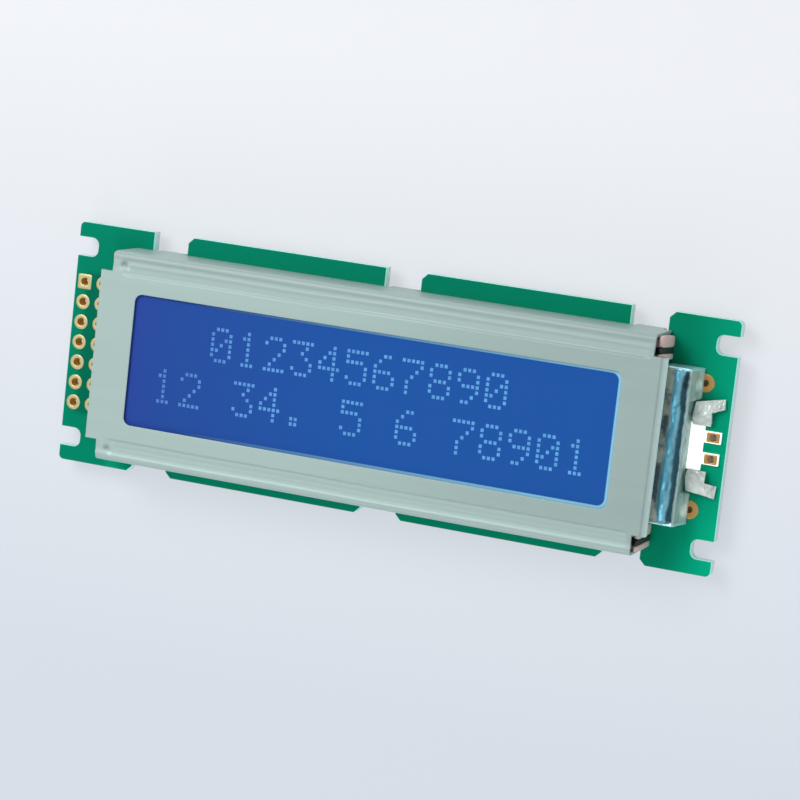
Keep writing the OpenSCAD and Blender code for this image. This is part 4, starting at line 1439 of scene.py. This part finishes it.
film = plain_finish("film_white", shade(240, 240, 238), 300.0, 0.06, 0.6)
finish_node("reflector_film", film)
finish_node("diffuser_film", film)
finish_node("light_guide", plain_finish("guide_clear", shade(232, 240, 242), 200.0, 0.05, 0.12,
                                        0.002, Transmission_Weight=0.8, IOR=1.49))
glass = plain_finish("cell_glass", shade(214, 234, 238), 200.0, 0.04, 0.04, 0.001,
                     Transmission_Weight=0.85, IOR=1.52)
finish_node("front_glass", glass)
finish_node("rear_glass", glass)
finish_node("rear_polariser", plain_finish("polariser_grey", shade(92, 98, 118), 200.0, 0.08, 0.35))
finish_node("cell_seal", plain_finish("seal_resin", shade(128, 126, 122), 900.0, 0.2, 0.6))
finish_node("liquid_crystal", plain_finish("crystal_blue", shade(44, 82, 166), 200.0, 0.1, 0.3))
finish_node("fill_plug", plain_finish("plug_resin", shade(214, 202, 160), 900.0, 0.15, 0.25,
                                      Transmission_Weight=0.3))
finish_node("contact_fingers", gold)

# %% Finishes of the small parts on the back
finish_node("resistor_bodies", plain_finish("chip_black", shade(34, 34, 38), 1500.0, 0.3, 0.35))
finish_node("capacitor_bodies", plain_finish("chip_tan", shade(182, 152, 122), 1500.0, 0.2, 0.5))
tin = plain_finish("terminal_tin", shade(206, 206, 208), 2500.0, 0.25, 0.35, Metallic=0.9)
finish_node("chip_terminals", tin)
finish_node("solder_fillets", plain_finish("solder", shade(200, 202, 204), 1800.0, 0.3, 0.22,
                                           0.02, Metallic=1.0))
print("finished", len(bpy.data.materials), "materials")

# %% [markdown]
# ## Floor, light and camera
# The ground is plain and pale, a little bluer and darker towards the lower edge, so the floor's
# own colour changes along Y. What the camera sees of it is part glow and part lit paint, which
# keeps the tone even and leaves a faint shadow. Right under the board the floor doesn't glow, so
# the holes look into shade. Light comes from a pale room and three soft lamps: the main one
# stands close on the left, so that the left-hand half is a shade brighter.

# %% Floor
def floor_finish():
    """Pale grey-blue with a slow change along Y, partly glowing where it is seen directly."""
    finish, tree, shader = new_finish("floor_pale", Roughness=0.9, Specular_IOR_Level=0.1)
    base = ramp(tree, axis_value(tree, "Y", -40.0, 40.0), [
        (0.0, shade(214, 222, 230)), (1.0, shade(236, 238, 242))])
    put(shader, "Base Color", base)
    glow = add_node(tree, "ShaderNodeEmission", {"Color": base, "Strength": 1.0})
    rays = add_node(tree, "ShaderNodeLightPath").outputs
    direct = math_node(tree, "MAXIMUM", rays["Is Camera Ray"], rays["Is Transmission Ray"])
    seen = math_node(tree, "MAXIMUM", direct, rays["Is Glossy Ray"])
    under = soft_box(tree, place_of(tree), (-43.6, 40.6), (-10.0, 10.0), 0.8)
    glowing = spread_out(tree, under, 0.0, 1.0, 0.72, 0.0)
    mixed = add_node(tree, "ShaderNodeMixShader", {
        0: math_node(tree, "MULTIPLY", seen, glowing), 1: shader.outputs[0], 2: glow.outputs[0]})
    tree.links.new(mixed.outputs[0], tree.nodes["Material Output"].inputs["Surface"])
    return finish


FLOOR_HALF = 900
FLOOR_Z = -0.02
floor_x, floor_y = np.meshgrid(*[np.linspace(-FLOOR_HALF, FLOOR_HALF, 7)] * 2)
floor_points = np.stack([floor_x, floor_y, np.full_like(floor_x, FLOOR_Z)], axis=2)
floor = mesh_piece("floor", *patch(floor_points), floor_finish(), smooth=False)
print("floor:", len(floor.data.polygons), "faces")


# %% Room and lamps: name, place and size in millimetres, power in watts
LAMPS = (("lamp_left", (-110, 150, 250), 160, 0.62), ("lamp_right", (380, -120, 420), 260, 0.4),
         ("lamp_front", (-60, -420, 300), 260, 0.5))
LAMP_AIM = (0, 0, 5)


def soft_lamp(name, place, size, power):
    """A square area lamp that looks at the module."""
    data = bpy.data.lights.new(name, "AREA")
    data.size = size * MM
    data.energy = power
    lamp = bpy.data.objects.new(name, data)
    bpy.context.scene.collection.objects.link(lamp)
    lamp.location = Vector(place) * MM
    direction = (Vector(LAMP_AIM) - Vector(place)).normalized()
    lamp.rotation_euler = direction.to_track_quat("-Z", "Y").to_euler()
    return lamp


room = bpy.data.worlds.new("room")
bpy.context.scene.world = room
room.use_nodes = True
sky = room.node_tree.nodes["Background"]
sky.inputs["Color"].default_value = shade(240, 244, 250)
sky.inputs["Strength"].default_value = 0.5
lamps = [soft_lamp(*given) for given in LAMPS]
print("lamps:", [lamp.name for lamp in lamps])

# %% [markdown]
# ### Camera
# The camera looks down on the module from its lamp end, so the long side runs down to the right.
# It is placed by an aim point, a distance, two angles and a roll, which is easier to change than
# a matrix.

# %% Camera from angles: millimetres and degrees
AIM = (2.088, -0.506, 3.1)
DISTANCE = 352.27
AZIMUTH = 23.05
ELEVATION = 68.02
ROLL = -105.07
LENS = 132.35


def place_camera():
    """Looks from the given direction at the aim point, then rolls about the line of sight."""
    azimuth, elevation = math.radians(AZIMUTH), math.radians(ELEVATION)
    away = Vector((math.cos(elevation) * math.cos(azimuth),
                   math.cos(elevation) * math.sin(azimuth), math.sin(elevation)))
    data = bpy.data.cameras.new("camera")
    data.lens = LENS
    data.sensor_width = 36.0
    data.clip_start = 0.01
    data.clip_end = 10.0
    camera = bpy.data.objects.new("camera", data)
    bpy.context.scene.collection.objects.link(camera)
    level = (-away).to_track_quat("-Z", "Y").to_matrix().to_4x4()
    roll = Matrix.Rotation(math.radians(ROLL), 4, "Z")
    camera.matrix_world = Matrix.Translation((Vector(AIM) + away * DISTANCE) * MM) @ level @ roll
    bpy.context.scene.camera = camera
    return camera


camera = place_camera()
print("camera at", [round(c / MM, 1) for c in camera.location])
print("camera right", [round(c, 4) for c in camera.matrix_world.col[0][:3]])

# %% Colour management
bpy.context.scene.view_settings.view_transform = "Standard"
print("view transform:", bpy.context.scene.view_settings.view_transform)
